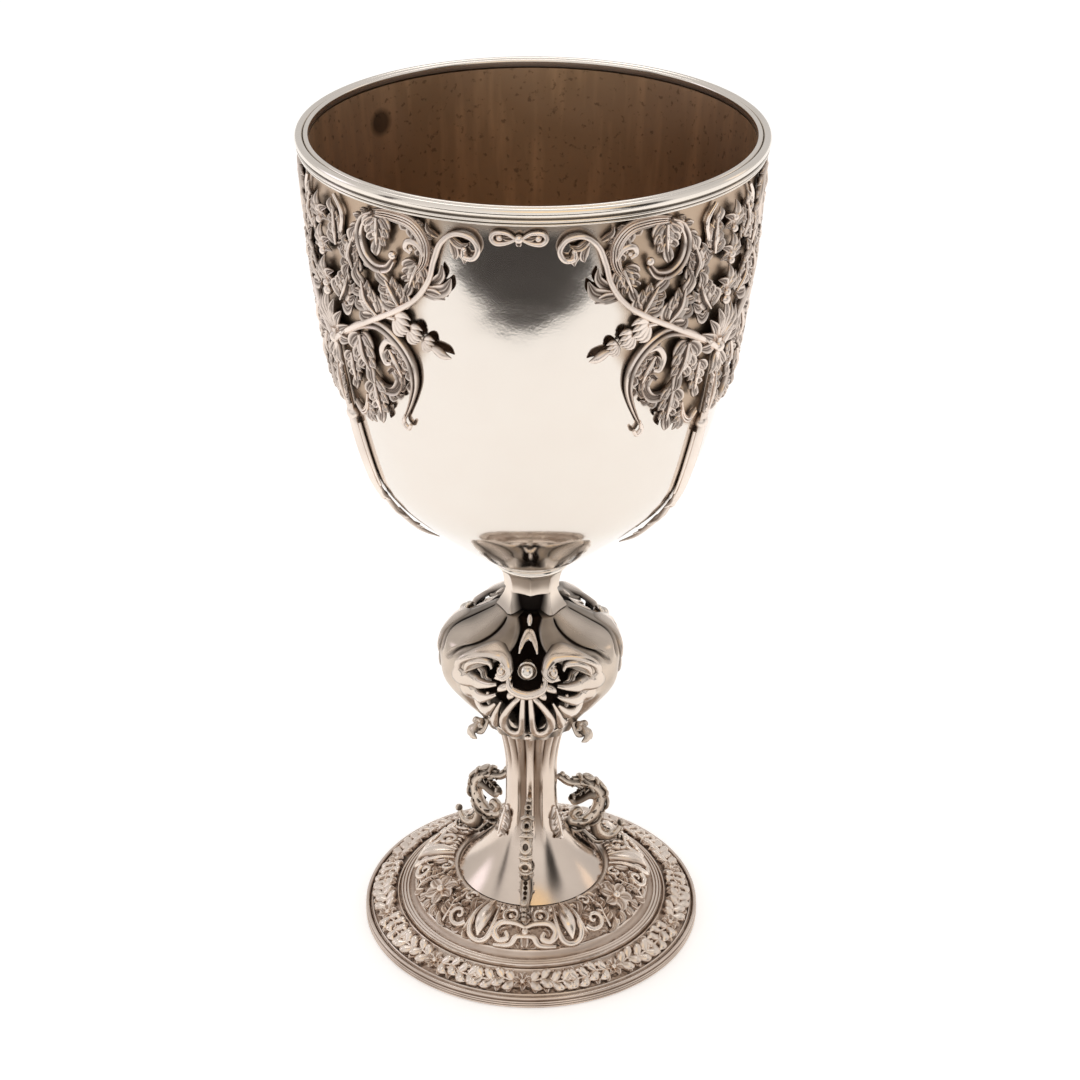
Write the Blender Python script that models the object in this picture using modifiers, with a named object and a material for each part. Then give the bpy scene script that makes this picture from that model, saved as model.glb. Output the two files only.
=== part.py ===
"""A silver presentation goblet: raised bowl, cast three-sided stem and chased foot on a tie rod.

Sizes are in millimetres and become Blender's metres through MM. The goblet stands on z = 0, its
axis is Z, and its front panel faces -Y. An azimuth is counted from the front towards +X.
Three panels, cartouches and brackets lie at 0, 120 and 240 degrees; three foliate mounts, drops,
pendants and stem leaves lie between them, at 60, 180 and 300 degrees.
"""

import math

import bmesh
import bpy
from mathutils import Vector

MM = 0.001
GAP = 0.3                    # clearance between a piece and its seat
PANEL_AZIMUTHS = (0, 120, 240)
MOUNT_AZIMUTHS = (60, 180, 300)

# Foot
FOOT_RADIUS = 43.6
RING_WIDTH = 1.1             # reeded edge moulding, seen from above
RING_HEIGHT = 3.2
RING_SEAT = 3.0              # how far the ring reaches in below the flange
RING_SEAT_HEIGHT = 1.2
SHEET = 1.2                  # thickness of the raised foot and stem
FLANGE_WIDTH = 7.6
FLANGE_RISE = 3.0
STEP_DEPTH = 1.0             # the flange drops by this where the dome seats
STEP_WIDTH = 4.2             # plain reeded step round the dome
DOME_SEAT = 2.4              # how far the dome lies over the flange
DOME_HEIGHT = 6.9
DOME_INNER_RADIUS = 16.8

# Stem
STEM_FOOT_RADIUS = 18.7
STEM_WAIST_RADIUS = 6.6
STEM_TOP_RADIUS = 10.0
STEM_HEIGHT = 44.8
STEM_FLARE_HEIGHT = 23.0
STEM_FLARE_POWER = 2.2
STEM_TOP_FLARE = 14.0
STEM_WEB = 5.0               # solid top of the stem, bored for the rod

# Brackets, leaves and pendants
BRACKET_THICKNESS = 2.6
BRACKET_WIDTH = 4.2
BRACKET_REACH = 14.9         # from the stem's waist to the back of the C-scroll
BRACKET_RISE = 25.1          # root of the upper arm above the stem's lower edge
BRACKET_DROP = 15.9          # from that root to the bottom of the C-scroll
BRACKET_TOE = 19.0           # from the stem's waist to the toe of the lower scroll
BRACKET_CLEARANCE = 1.6      # the lower scroll stays this far above the dome
LEAF_HEIGHT = 8.0
LEAF_WIDTH = 4.4
LEAF_RISE = 15.5             # middle of the leaf above the stem's lower edge
LEAF_THICKNESS = 1.0
PENDANT_LENGTH = 7.6
PENDANT_THICKNESS = 2.4
PENDANT_DROP = 3.6           # below the knop's corner, above the knop's foot
PENDANT_REACH = 1.8          # how far it leans outwards on its way down

# Knop
KNOP_HEIGHT = 33.4
KNOP_CORNER_RADIUS = 24.4
KNOP_FACE_RADIUS = 15.5
KNOP_CORNER_POWER = 3        # the higher, the narrower its three corners
KNOP_TOP_RADIUS = 8.8
KNOP_FOOT_RADIUS = 11.2
KNOP_WALL = 1.8
KNOP_RIM_SHARE = 0.72        # the opening at either end, as a share of that end's radius

# Cartouches and bosses on the knop
CARTOUCHE_CREST = 3.2        # how far its middle stands off the knop's face
CARTOUCHE_WIDTH = 38.0
CARTOUCHE_SPAN = 48          # degrees round the knop, to either side of its middle
CARTOUCHE_HEIGHT = 26.0
CARTOUCHE_RISE = 5.2         # bottom of the loops above the knop's foot
CARTOUCHE_WIRE = 1.05        # radius of its cast scrollwork
BOSS_RADIUS = 2.5
BOSS_RISE = 25.0             # above the knop's foot
BOSS_SHANK_RADIUS = 1.3
BOSS_STANDOFF = 3.4

# Neck and collar
NECK_HEIGHT = 10.7
NECK_WAIST_RADIUS = 6.9
NECK_TOP_RADIUS = 8.2
NECK_FACETS = 9
NECK_BORE_RADIUS = 4.4
COLLAR_RADIUS = 9.2
COLLAR_HEIGHT = 1.9

# Bowl and rim
BOWL_RADIUS = 51.2
BOWL_DEPTH = 106.5
BOWL_WALL = 1.1
BOWL_FLOOR_RADIUS = 8.4
RIM_BEAD_HALF_WIDTH = 1.75
RIM_BEAD_HEIGHT = 2.0
REED_RADIUS = 0.7
RIM_SKIRT = 2.2              # the rim wire reaches this far down the outside of the wall

# Foliate mounts, drops and clasps
MOUNT_CLEARANCE = 1.2        # from a mount's side to the clasp beside it, round the bowl
MOUNT_HEIGHT = 56.0
MOUNT_STEM_RADIUS = 0.95
MOUNT_SCROLL_RADIUS = 1.15
LEAF_RELIEF = 1.5            # thickness of a cast leaf
DROP_LENGTH = 35.0
DROP_WIDTH = 3.6
CLASP_WIDTH = 12.0
CLASP_HEIGHT = 3.6

# Tie rod
ROD_RADIUS = 2.4
ROD_TAIL = 1.6               # the rod shows this far below the nut
WASHER_THICKNESS = 1.2
WASHER_OVERLAP = 1.6         # the washer reaches this far under the dome's lip
NUT_RADIUS = 5.0
NUT_HEIGHT = 2.8

# Facets
TURNED_STEPS = 36
STEM_STEPS = 24
KNOP_STEPS = 24
SLIVER = 0.03                # facets thinner than this are taken out of the fused castings

# Heights that follow from the stack of pieces
FLANGE_OUTER_RADIUS = FOOT_RADIUS - RING_WIDTH - GAP
FLANGE_OUTER_TOP = RING_SEAT_HEIGHT + GAP + SHEET
FLANGE_INNER_TOP = FLANGE_OUTER_TOP + FLANGE_RISE
FLANGE_STEP_RADIUS = FLANGE_OUTER_RADIUS - FLANGE_WIDTH
DOME_OUTER_RADIUS = FLANGE_STEP_RADIUS - GAP
DOME_OUTER_TOP = FLANGE_INNER_TOP - STEP_DEPTH + GAP + SHEET
DOME_RING_RADIUS = DOME_OUTER_RADIUS - STEP_WIDTH
DOME_TOP = DOME_OUTER_TOP + DOME_HEIGHT
STEM_BASE = DOME_TOP + GAP
STEM_TOP = STEM_BASE + STEM_HEIGHT
KNOP_BASE = STEM_TOP + GAP
KNOP_TOP = KNOP_BASE + KNOP_HEIGHT
NECK_BASE = KNOP_TOP + GAP
NECK_TOP = NECK_BASE + NECK_HEIGHT
COLLAR_BASE = NECK_TOP + GAP
COLLAR_TOP = COLLAR_BASE + COLLAR_HEIGHT
BOWL_BASE = COLLAR_TOP + GAP
BOWL_LIP = BOWL_BASE + BOWL_DEPTH
RIM_BASE = BOWL_LIP - RIM_SKIRT
MOUNT_HALF_WIDTH = BOWL_RADIUS * math.pi / 3 - 0.5 * CLASP_WIDTH - MOUNT_CLEARANCE
MOUNT_TOP = RIM_BASE - GAP
MOUNT_BOTTOM = MOUNT_TOP - MOUNT_HEIGHT


def new_collection(name):
    """A collection in the scene."""
    group = bpy.data.collections.new(name)
    bpy.context.scene.collection.children.link(group)
    return group


def clear_scene():
    """Take away whatever the scene starts with."""
    for thing in list(bpy.data.objects):
        bpy.data.objects.remove(thing, do_unlink=True)


clear_scene()
GOBLET = new_collection("silver_goblet")


def silver(name, colour, roughness):
    """A metal of one colour, which each piece has for its own."""
    material = bpy.data.materials.new(name)
    material.use_nodes = True
    shader = material.node_tree.nodes["Principled BSDF"]
    shader.inputs["Base Color"].default_value = (*colour, 1.0)
    shader.inputs["Metallic"].default_value = 1.0
    shader.inputs["Roughness"].default_value = roughness
    return material


POLISHED = (0.86, 0.82, 0.77)
CAST = (0.70, 0.63, 0.57)
CHASED = (0.60, 0.52, 0.45)
STEEL = (0.45, 0.45, 0.46)


def through(stations, place):
    """The height of a smooth curve through stations, pairs of (place, value) in rising order."""
    count = len(stations)
    index = 0
    while index < count - 2 and place > stations[index + 1][0]:
        index += 1
    (x0, y0), (x1, y1) = stations[index], stations[index + 1]

    def slope(i):
        low = max(i - 1, 0)
        high = min(i + 1, count - 1)
        return (stations[high][1] - stations[low][1]) / (stations[high][0] - stations[low][0])

    span = x1 - x0
    t = min(max((place - x0) / span, 0.0), 1.0)
    start = slope(index) * span
    end = slope(index + 1) * span
    return (
        y0 * (2 * t**3 - 3 * t**2 + 1)
        + start * (t**3 - 2 * t**2 + t)
        + y1 * (3 * t**2 - 2 * t**3)
        + end * (t**3 - t**2)
    )


def arc(centre, radii, start, end, steps):
    """Points (radius, height) along an elliptical arc, with its angles in degrees."""
    points = []
    for i in range(steps + 1):
        angle = math.radians(start + (end - start) * i / steps)
        points.append((centre[0] + radii[0] * math.cos(angle), centre[1] + radii[1] * math.sin(angle)))
    return points


def offset(outline, distance):
    """An outline that runs down an outer side, moved inwards along its normals."""
    moved = []
    for i, (radius, height) in enumerate(outline):
        before = outline[max(i - 1, 0)]
        after = outline[min(i + 1, len(outline) - 1)]
        along = Vector((after[0] - before[0], after[1] - before[1])).normalized()
        moved.append((radius + distance * along.y, height - distance * along.x))
    return moved


def turned(name, outline, material, steps=TURNED_STEPS, closed=True):
    """A piece turned about the axis; its outline runs down the outer side and up the inner one."""
    mesh = bpy.data.meshes.new(name)
    points = [(radius * MM, 0.0, height * MM) for radius, height in outline]
    edges = [(i, i + 1) for i in range(len(points) - 1)]
    if closed:
        edges.append((len(points) - 1, 0))
    mesh.from_pydata(points, edges, [])
    piece = bpy.data.objects.new(name, mesh)
    GOBLET.objects.link(piece)
    mesh.materials.append(material)
    screw = piece.modifiers.new("turn", "SCREW")
    screw.axis = "Z"
    screw.angle = math.tau
    screw.steps = steps
    screw.render_steps = steps
    screw.use_merge_vertices = True
    screw.merge_threshold = 0.000001
    screw.use_smooth_shade = True
    return piece


def finished(mesh):
    """Smooth shading with sharp edges where the faces turn by more than 35 degrees."""
    mesh.shade_smooth()
    mesh.set_sharp_from_angle(angle=math.radians(35))
    return mesh


def placed(name, mesh, azimuth=0.0):
    """An object for a mesh that was made at the front, turned to its azimuth."""
    piece = bpy.data.objects.new(name, mesh)
    piece.rotation_euler.z = math.radians(azimuth)
    GOBLET.objects.link(piece)
    return piece


def repeated(names, mesh, azimuths):
    """Copies of one casting round the axis, which share its mesh."""
    for name, azimuth in zip(names, azimuths):
        placed(name, mesh, azimuth)


def solid_from(curve, spread=1.0):
    """A closed mesh from a curve object, stretched across by spread; the curve is removed."""
    bpy.context.view_layer.update()
    mesh = bpy.data.meshes.new_from_object(curve.evaluated_get(bpy.context.evaluated_depsgraph_get()))
    bpy.data.objects.remove(curve, do_unlink=True)
    shape = bmesh.new()
    shape.from_mesh(mesh)
    bmesh.ops.remove_doubles(shape, verts=shape.verts, dist=0.00001)
    for vertex in shape.verts:
        vertex.co.x *= spread
    bmesh.ops.recalc_face_normals(shape, faces=shape.faces)
    shape.to_mesh(mesh)
    shape.free()
    return mesh


def smooth_path(points, steps):
    """Points along a smooth curve through hand-chosen ones, with steps to each span."""
    stations = [Vector(point) for point in points]
    path = []
    for i in range(len(stations) - 1):
        before = stations[max(i - 1, 0)]
        start = stations[i]
        end = stations[i + 1]
        after = stations[min(i + 2, len(stations) - 1)]
        for k in range(steps):
            t = k / steps
            path.append(
                0.5 * (
                    2 * start
                    + (end - before) * t
                    + (2 * before - 5 * start + 4 * end - after) * t * t
                    + (3 * start - before - 3 * end + after) * t * t * t
                )
            )
    path.append(stations[-1])
    return path


def wire(points, radii, steps=1, spread=1.0):
    """A cast wire along points (across, outwards, up); radii are spread evenly along it."""
    path = smooth_path(points, steps)
    data = bpy.data.curves.new("wire", "CURVE")
    data.dimensions = "3D"
    data.twist_mode = "MINIMUM"  # the upright twist crosses its rings where a wire passes the vertical
    data.bevel_depth = MM
    data.bevel_resolution = 1
    data.use_fill_caps = True
    spline = data.splines.new("POLY")
    spline.points.add(len(path) - 1)
    stations = [(i / (len(radii) - 1), radius) for i, radius in enumerate(radii)]
    for i, (across, out, up) in enumerate(path):
        spline.points[i].co = (across * MM, -out * MM, up * MM, 1.0)
        spline.points[i].radius = through(stations, i / (len(path) - 1))
    curve = bpy.data.objects.new("wire", data)
    GOBLET.objects.link(curve)
    return solid_from(curve, spread)


def leaf(root, tip, width, lobes, bend=0.0, rise=0.0, thickness=LEAF_RELIEF):
    """A flat cast leaf from root to tip, both (across, up), with lobed sides and a bent spine."""
    root = Vector(root)
    tip = Vector(tip)
    along = tip - root
    side = Vector((-along.y, along.x)).normalized()
    outline = []
    steps = 2 * lobes
    for edge in (1, -1):
        order = range(1, steps) if edge == 1 else range(steps - 1, 0, -1)
        for i in order:
            t = i / steps
            lobe = 1.0 if i % 2 else 0.72
            half = 0.5 * width * lobe * math.sin(math.pi * t) ** 0.6
            outline.append(root + along * t + side * (bend * math.sin(math.pi * t) + edge * half))
        outline.append(tip if edge == 1 else root)
    data = bpy.data.curves.new("leaf", "CURVE")
    data.dimensions = "2D"
    data.fill_mode = "BOTH"
    data.extrude = 0.5 * thickness * MM
    spline = data.splines.new("POLY")
    spline.points.add(len(outline) - 1)
    for i, point in enumerate(outline):
        spline.points[i].co = (point.x * MM, point.y * MM, 0.0, 1.0)
    spline.use_cyclic_u = True
    curve = bpy.data.objects.new("leaf", data)
    GOBLET.objects.link(curve)
    mesh = solid_from(curve)
    middle = rise + 0.5 * thickness
    for vertex in mesh.vertices:
        across, up, out = vertex.co
        vertex.co = (across, -middle * MM - out, up)
    return mesh


def fused(name, meshes, material, keep=1.0):
    """One casting out of overlapping closed meshes, with a share of its facets kept."""
    first = bpy.data.objects.new(name, meshes[0])
    GOBLET.objects.link(first)
    others = []
    for mesh in meshes[1:]:
        other = bpy.data.objects.new("addition", mesh)
        GOBLET.objects.link(other)
        others.append(other)
        union = first.modifiers.new("union", "BOOLEAN")
        union.operation = "UNION"
        union.solver = "MANIFOLD"  # the exact solver loses these millimetre-wide wires
        union.object = other
    if keep < 1.0:
        fewer = first.modifiers.new("fewer facets", "DECIMATE")
        fewer.ratio = keep
    bpy.context.view_layer.update()
    result = bpy.data.meshes.new_from_object(first.evaluated_get(bpy.context.evaluated_depsgraph_get()))
    for thing in [first] + others:
        bpy.data.objects.remove(thing, do_unlink=True)
    result.name = name
    result.materials.clear()
    result.materials.append(material)
    return result


def wrapped(mesh, surface):
    """A flat casting bent on to a surface, which gives a place for (across, outwards, up)."""
    shape = bmesh.new()
    shape.from_mesh(mesh)
    bmesh.ops.triangulate(shape, faces=shape.faces, quad_method="BEAUTY", ngon_method="EAR_CLIP")
    bmesh.ops.dissolve_degenerate(shape, edges=shape.edges, dist=SLIVER * MM)
    bmesh.ops.triangulate(shape, faces=shape.faces, quad_method="BEAUTY", ngon_method="EAR_CLIP")
    for vertex in shape.verts:
        across, back, up = vertex.co / MM
        vertex.co = surface(across, -back, up) * MM
    shape.to_mesh(mesh)
    shape.free()
    return finished(mesh)


def round_axis(radius, azimuth, height):
    """A point by its distance from the axis, its azimuth in radians and its height."""
    return Vector((radius * math.sin(azimuth), -radius * math.cos(azimuth), height))


# Base ring: a reeded edge moulding with a seat inside for the flange
def base_ring():
    top_reed = RING_WIDTH * 0.32
    inner = FOOT_RADIUS - RING_WIDTH
    outline = [(inner, RING_HEIGHT - top_reed)]
    outline += arc((inner + top_reed, RING_HEIGHT - top_reed), (top_reed, top_reed), 120, 0, 2)
    lower = RING_HEIGHT - 2 * top_reed
    outline += arc((FOOT_RADIUS - 0.5 * lower, 0.5 * lower), (0.5 * lower, 0.5 * lower), 50, -50, 2)
    outline += [
        (FOOT_RADIUS - 0.5 * lower, 0.0),
        (inner - RING_SEAT, 0.0),
        (inner - RING_SEAT, RING_SEAT_HEIGHT),
        (inner, RING_SEAT_HEIGHT),
    ]
    turned("base_ring", outline, silver("ring_silver", POLISHED, 0.3))


# Foot flange: a chased band that rises inwards, with a seat for the dome
def foot_flange():
    seat = FLANGE_INNER_TOP - STEP_DEPTH
    top = [
        (FLANGE_STEP_RADIUS - DOME_SEAT, seat),
        (FLANGE_STEP_RADIUS, seat),
        (FLANGE_STEP_RADIUS + 0.3 * STEP_DEPTH, FLANGE_INNER_TOP),
        (FLANGE_STEP_RADIUS + 0.5 * FLANGE_WIDTH, FLANGE_INNER_TOP - 0.35 * FLANGE_RISE),
        (FLANGE_OUTER_RADIUS, FLANGE_OUTER_TOP),
    ]
    under = [
        (FLANGE_OUTER_RADIUS, FLANGE_OUTER_TOP - SHEET),
        (FLANGE_STEP_RADIUS + 0.5 * FLANGE_WIDTH, FLANGE_INNER_TOP - 0.35 * FLANGE_RISE - SHEET),
        (FLANGE_STEP_RADIUS - DOME_SEAT, seat - SHEET),
    ]
    turned("foot_flange", top + under, silver("flange_silver", CHASED, 0.4))


# Foot dome: a plain step with a reed, then the chased dome, then a lip that carries the stem
def foot_dome():
    crown = DOME_TOP + 0.5
    top = [(DOME_INNER_RADIUS, DOME_TOP), (STEM_FOOT_RADIUS + 0.6, DOME_TOP)]
    swell = (DOME_RING_RADIUS - STEM_FOOT_RADIUS - 2.6, crown - DOME_OUTER_TOP - 1.4)
    top += arc((DOME_RING_RADIUS - swell[0], crown - swell[1]), swell, 90, 0, 3)
    top += [
        (DOME_RING_RADIUS + 0.3, DOME_OUTER_TOP + 0.5),
        (DOME_RING_RADIUS + 1.2, DOME_OUTER_TOP + 0.1),
        (DOME_OUTER_RADIUS, DOME_OUTER_TOP),
    ]
    under = offset(top, SHEET)
    under = [under[0], under[3], under[5], under[-1]]
    turned("foot_dome", top + list(reversed(under)), silver("dome_silver", CHASED, 0.4))


def stem_radius(height):
    """The stem's outer radius: a waist that flares to the foot and, less, to the knop."""
    radius = STEM_WAIST_RADIUS
    flare = (STEM_BASE + STEM_FLARE_HEIGHT - height) / STEM_FLARE_HEIGHT
    if flare > 0:
        radius += (STEM_FOOT_RADIUS - STEM_WAIST_RADIUS) * min(flare, 1.0) ** STEM_FLARE_POWER
    rise = (height - STEM_TOP + STEM_TOP_FLARE) / STEM_TOP_FLARE
    if rise > 0:
        radius += (STEM_TOP_RADIUS - STEM_WAIST_RADIUS) * min(rise, 1.0) ** 2
    return radius


def on_stem(across, out, up):
    """A place off the stem's surface, along its normal."""
    slope = stem_radius(up + 0.5) - stem_radius(up - 0.5)
    length = math.hypot(1.0, slope)
    stand = GAP + out
    return round_axis(stem_radius(up) + stand / length, across / stem_radius(up), up - slope * stand / length)


# Stem: a trumpet of sheet, closed by a bored web at its top
def stem_trumpet():
    levels = (1.0, 0.88, 0.75, 0.5, 0.42, 0.34, 0.26, 0.18, 0.09, 0.0)
    outer = []
    for level in levels:
        height = STEM_BASE + STEM_HEIGHT * level
        outer.append((stem_radius(height), height))
    inner = offset(outer, SHEET)
    web = STEM_TOP - STEM_WEB
    bore = ROD_RADIUS + GAP
    inside = [point for point in reversed(inner[:-1]) if point[1] < web - 2.0]
    inside.insert(0, (STEM_FOOT_RADIUS - 1.5 * SHEET, STEM_BASE))
    outline = outer + inside + [(inside[-1][0], web), (bore, web), (bore, STEM_TOP)]
    turned("stem_trumpet", outline, silver("stem_silver", POLISHED, 0.22), STEM_STEPS)


# Scroll bracket: a cast C-scroll open to the stem, over a lower scroll whose toe turns up
def stem_brackets():
    waist = STEM_WAIST_RADIUS + GAP
    half = 0.5 * BRACKET_THICKNESS
    top = STEM_BASE + BRACKET_RISE
    low = top - BRACKET_DROP
    drop = BRACKET_DROP / 16.0
    back = waist + BRACKET_REACH - half
    toe = waist + BRACKET_TOE
    foot = STEM_BASE + BRACKET_CLEARANCE + half
    scroll = [
        (0, stem_radius(top) + GAP + 0.5 * half, top),
        (0, waist + 0.26 * BRACKET_REACH, top - 2.9 * drop),
        (0, waist + 0.58 * BRACKET_REACH, top - 3.9 * drop),
        (0, back - 1.0, top - 6.7 * drop),
        (0, back, top - 10.5 * drop),
        (0, back - 1.2, top - 14.1 * drop),
        (0, back - 4.6, low),
        (0, waist + 0.31 * BRACKET_REACH, low + 1.0),
    ]
    hook = [
        (0, back - 0.3, top - 8.2 * drop),
        (0, back - 4.8, top - 8.6 * drop),
        (0, waist + 0.3 * BRACKET_REACH, top - 7.9 * drop),
    ]
    lower = [
        (0, back - 1.4, low + 0.9),
        (0, back - 1.2, 0.5 * (low + foot) + 0.8),
        (0, 0.5 * (back + toe) - 1.6, foot + 0.6),
        (0, toe - 2.4, foot + 0.4),
        (0, toe, foot + 2.4),
    ]
    under = [(0, 0.5 * (back + toe) - 1.6, foot + 0.2)]
    for rise in (2.6, 5.0, 8.2):
        height = STEM_BASE + rise
        under.append((0, stem_radius(height) + 2.0 * GAP + 0.9, height))
    spread = BRACKET_WIDTH / BRACKET_THICKNESS
    meshes = [
        wire(scroll, (0.8, half, half, half, 0.9), 2, spread),
        wire(hook, (0.9, 0.85, 0.8), 2, 0.8 * spread),
        wire(lower, (0.9, 1.1 * half, 1.3 * half, 1.2 * half, 0.8), 2, spread),
        wire(under, (0.9, 0.9, 0.8), 1, 0.9 * spread),
    ]
    casting = finished(fused("stem_bracket", meshes, silver("bracket_silver", CAST, 0.35)))
    repeated(("stem_bracket_1", "stem_bracket_2", "stem_bracket_3"), casting, PANEL_AZIMUTHS)


# Stem leaf: a small oval leaf laid on the stem between two brackets
def stem_leaves():
    middle = STEM_BASE + LEAF_RISE
    root = (0, middle + 0.5 * LEAF_HEIGHT)
    tip = (0, middle - 0.5 * LEAF_HEIGHT)
    flat = leaf(root, tip, LEAF_WIDTH, 4, thickness=LEAF_THICKNESS)
    casting = fused("stem_leaf", [flat], silver("leaf_silver", CAST, 0.35))
    names = ("stem_leaf_1", "stem_leaf_2", "stem_leaf_3")
    repeated(names, wrapped(casting, on_stem), MOUNT_AZIMUTHS)


# The knop's two profiles, as (share of height, share of radius between the ends and the widest)
KNOP_CORNER = ((0.0, 0.0), (0.12, 0.2), (0.28, 0.56), (0.5, 0.93), (0.69, 1.0), (0.83, 0.86), (0.93, 0.45),
               (1.0, 0.0))
KNOP_FACE = ((0.0, 0.0), (0.25, 0.35), (0.5, 0.9), (0.66, 1.0), (0.8, 0.72), (0.92, 0.16), (1.0, 0.0))


def knop_radius(azimuth, height):
    """The knop's outer radius: full at its three corners and flat on its three faces."""
    share = min(max((height - KNOP_BASE) / KNOP_HEIGHT, 0.0), 1.0)
    ends = KNOP_FOOT_RADIUS + (KNOP_TOP_RADIUS - KNOP_FOOT_RADIUS) * share
    corner = ends + (KNOP_CORNER_RADIUS - ends) * through(KNOP_CORNER, share)
    face = ends + (KNOP_FACE_RADIUS - ends) * through(KNOP_FACE, share)
    turn = 0.5 - 0.5 * math.cos(3 * azimuth)
    return face + (corner - face) * turn ** KNOP_CORNER_POWER


# Knop: a hollow casting, a loft from ring to ring, open at both ends round the rod
def knop_body():
    levels = (0.0, 0.12, 0.26, 0.42, 0.58, 0.7, 0.8, 0.88, 0.95, 1.0)
    inner_levels = (1.0, 0.82, 0.6, 0.3, 0.0)
    shape = bmesh.new()
    rings = []

    def ring(level, inside):
        height = KNOP_BASE + KNOP_HEIGHT * level
        ends = KNOP_FOOT_RADIUS + (KNOP_TOP_RADIUS - KNOP_FOOT_RADIUS) * level
        points = []
        for i in range(KNOP_STEPS):
            azimuth = math.tau * i / KNOP_STEPS
            radius = knop_radius(azimuth, height)
            if inside:
                narrow = ends * KNOP_RIM_SHARE
                radius = narrow + max(radius - ends, 0.0) * 0.82
                radius = max(min(radius, knop_radius(azimuth, height) - KNOP_WALL), ROD_RADIUS + GAP)
            points.append(shape.verts.new(round_axis(radius, azimuth, height) * MM))
        return points

    for level in levels:
        rings.append(ring(level, False))
    for level in inner_levels:
        rings.append(ring(level, True))
    for i, lower in enumerate(rings):
        upper = rings[(i + 1) % len(rings)]
        for k in range(KNOP_STEPS):
            after = (k + 1) % KNOP_STEPS
            shape.faces.new((lower[k], lower[after], upper[after], upper[k]))
    bmesh.ops.recalc_face_normals(shape, faces=shape.faces)
    mesh = bpy.data.meshes.new("knop_body")
    shape.to_mesh(mesh)
    shape.free()
    mesh.materials.append(silver("knop_silver", POLISHED, 0.25))
    placed("knop_body", finished(mesh))


def on_cartouche(across, out, up):
    """A place on the cartouche, whose middle stands proud of the knop's face."""
    azimuth = across / (0.5 * CARTOUCHE_WIDTH) * math.radians(CARTOUCHE_SPAN)
    bulge = CARTOUCHE_CREST * math.cos(min(abs(azimuth) * 1.66, 0.5 * math.pi)) ** 1.2
    share = (up - KNOP_BASE - CARTOUCHE_RISE) / CARTOUCHE_HEIGHT
    bulge *= math.sin(math.pi * min(max(0.25 + 0.55 * share, 0.0), 1.0))
    return round_axis(knop_radius(azimuth, up) + GAP + bulge + out, azimuth, up)


# Knop cartouche: paired volutes over a palmette with two open loops, one pierced casting
def knop_cartouches():
    foot = KNOP_BASE + CARTOUCHE_RISE
    wide = CARTOUCHE_WIDTH / 38.0
    tall = CARTOUCHE_HEIGHT / 26.0
    bulk = CARTOUCHE_WIRE

    def point(across, up, out=0.0):
        return (across * wide, bulk + out, foot + up * tall)

    meshes = [wire([point(-3.2, 15.4), point(0, 13.8, 0.3), point(3.2, 15.4)], (0.9, 1.3, 0.9), 2)]
    for side in (1, -1):
        volute = [
            point(side * 18.0, 15.2), point(side * 17.2, 21.0), point(side * 12.6, 24.8, 0.2),
            point(side * 6.6, 23.6, 0.5), point(side * 5.4, 18.8, 0.6), point(side * 9.4, 18.2, 0.4),
            point(side * 9.2, 20.8, 0.3),
        ]
        upper_arm = [point(side * 1.8, 14.4), point(side * 8.6, 15.4), point(side * 14.2, 12.4),
                     point(side * 18.0, 16.0)]
        lower_arm = [point(side * 1.6, 13.8), point(side * 8.0, 11.6), point(side * 14.0, 8.6)]
        loop_outside = [point(side * 1.4, 13.4), point(side * 5.6, 8.4), point(side * 5.4, 2.8),
                        point(side * 2.4, 1.0)]
        loop_inside = [point(side * 3.6, 1.2), point(side * 0.9, 4.0), point(side * 0.45, 13.4)]
        meshes += [
            wire(volute, (0.9, bulk, 1.1 * bulk, bulk, 0.9), 1),
            wire(upper_arm, (0.8, bulk, bulk, 0.9), 1),
            wire(lower_arm, (0.8, bulk, 0.6), 1),
            wire(loop_outside, (0.8, 0.95, 0.9), 1),
            wire(loop_inside, (0.85, 0.9, 0.7), 1),
        ]
    casting = fused("knop_cartouche", meshes, silver("cartouche_silver", CAST, 0.3), 0.52)
    names = ("knop_cartouche_1", "knop_cartouche_2", "knop_cartouche_3")
    repeated(names, wrapped(casting, on_cartouche), PANEL_AZIMUTHS)


# Knop boss: a domed button on a shank, at the middle of each cartouche
def knop_bosses():
    height = KNOP_BASE + BOSS_RISE
    root = max(knop_radius(0.0, height - BOSS_SHANK_RADIUS), knop_radius(0.0, height)) + 1.5 * GAP
    crown = root + BOSS_STANDOFF
    outline = [(0, root), (BOSS_SHANK_RADIUS, root), (BOSS_SHANK_RADIUS, crown), (BOSS_RADIUS, crown + 0.3)]
    outline += arc((0, crown + 0.6), (BOSS_RADIUS, BOSS_RADIUS * 0.9), 0, 90, 3)
    shape = bmesh.new()
    ring_steps = 8
    rings = []
    for radius, out in outline:
        if radius < 0.01:
            rings.append([shape.verts.new(Vector((0, -out, height)) * MM)])
            continue
        ring = []
        for i in range(ring_steps):
            angle = math.tau * i / ring_steps
            place = Vector((radius * math.cos(angle), -out, height + radius * math.sin(angle)))
            ring.append(shape.verts.new(place * MM))
        rings.append(ring)
    for lower, upper in zip(rings, rings[1:]):
        for i in range(ring_steps):
            corners = [lower[i % len(lower)], lower[(i + 1) % len(lower)],
                       upper[(i + 1) % len(upper)], upper[i % len(upper)]]
            shape.faces.new(list(dict.fromkeys(corners)))
    bmesh.ops.recalc_face_normals(shape, faces=shape.faces)
    mesh = bpy.data.meshes.new("knop_boss")
    shape.to_mesh(mesh)
    shape.free()
    mesh.materials.append(silver("boss_silver", POLISHED, 0.2))
    repeated(("knop_boss_1", "knop_boss_2", "knop_boss_3"), finished(mesh), PANEL_AZIMUTHS)


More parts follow.
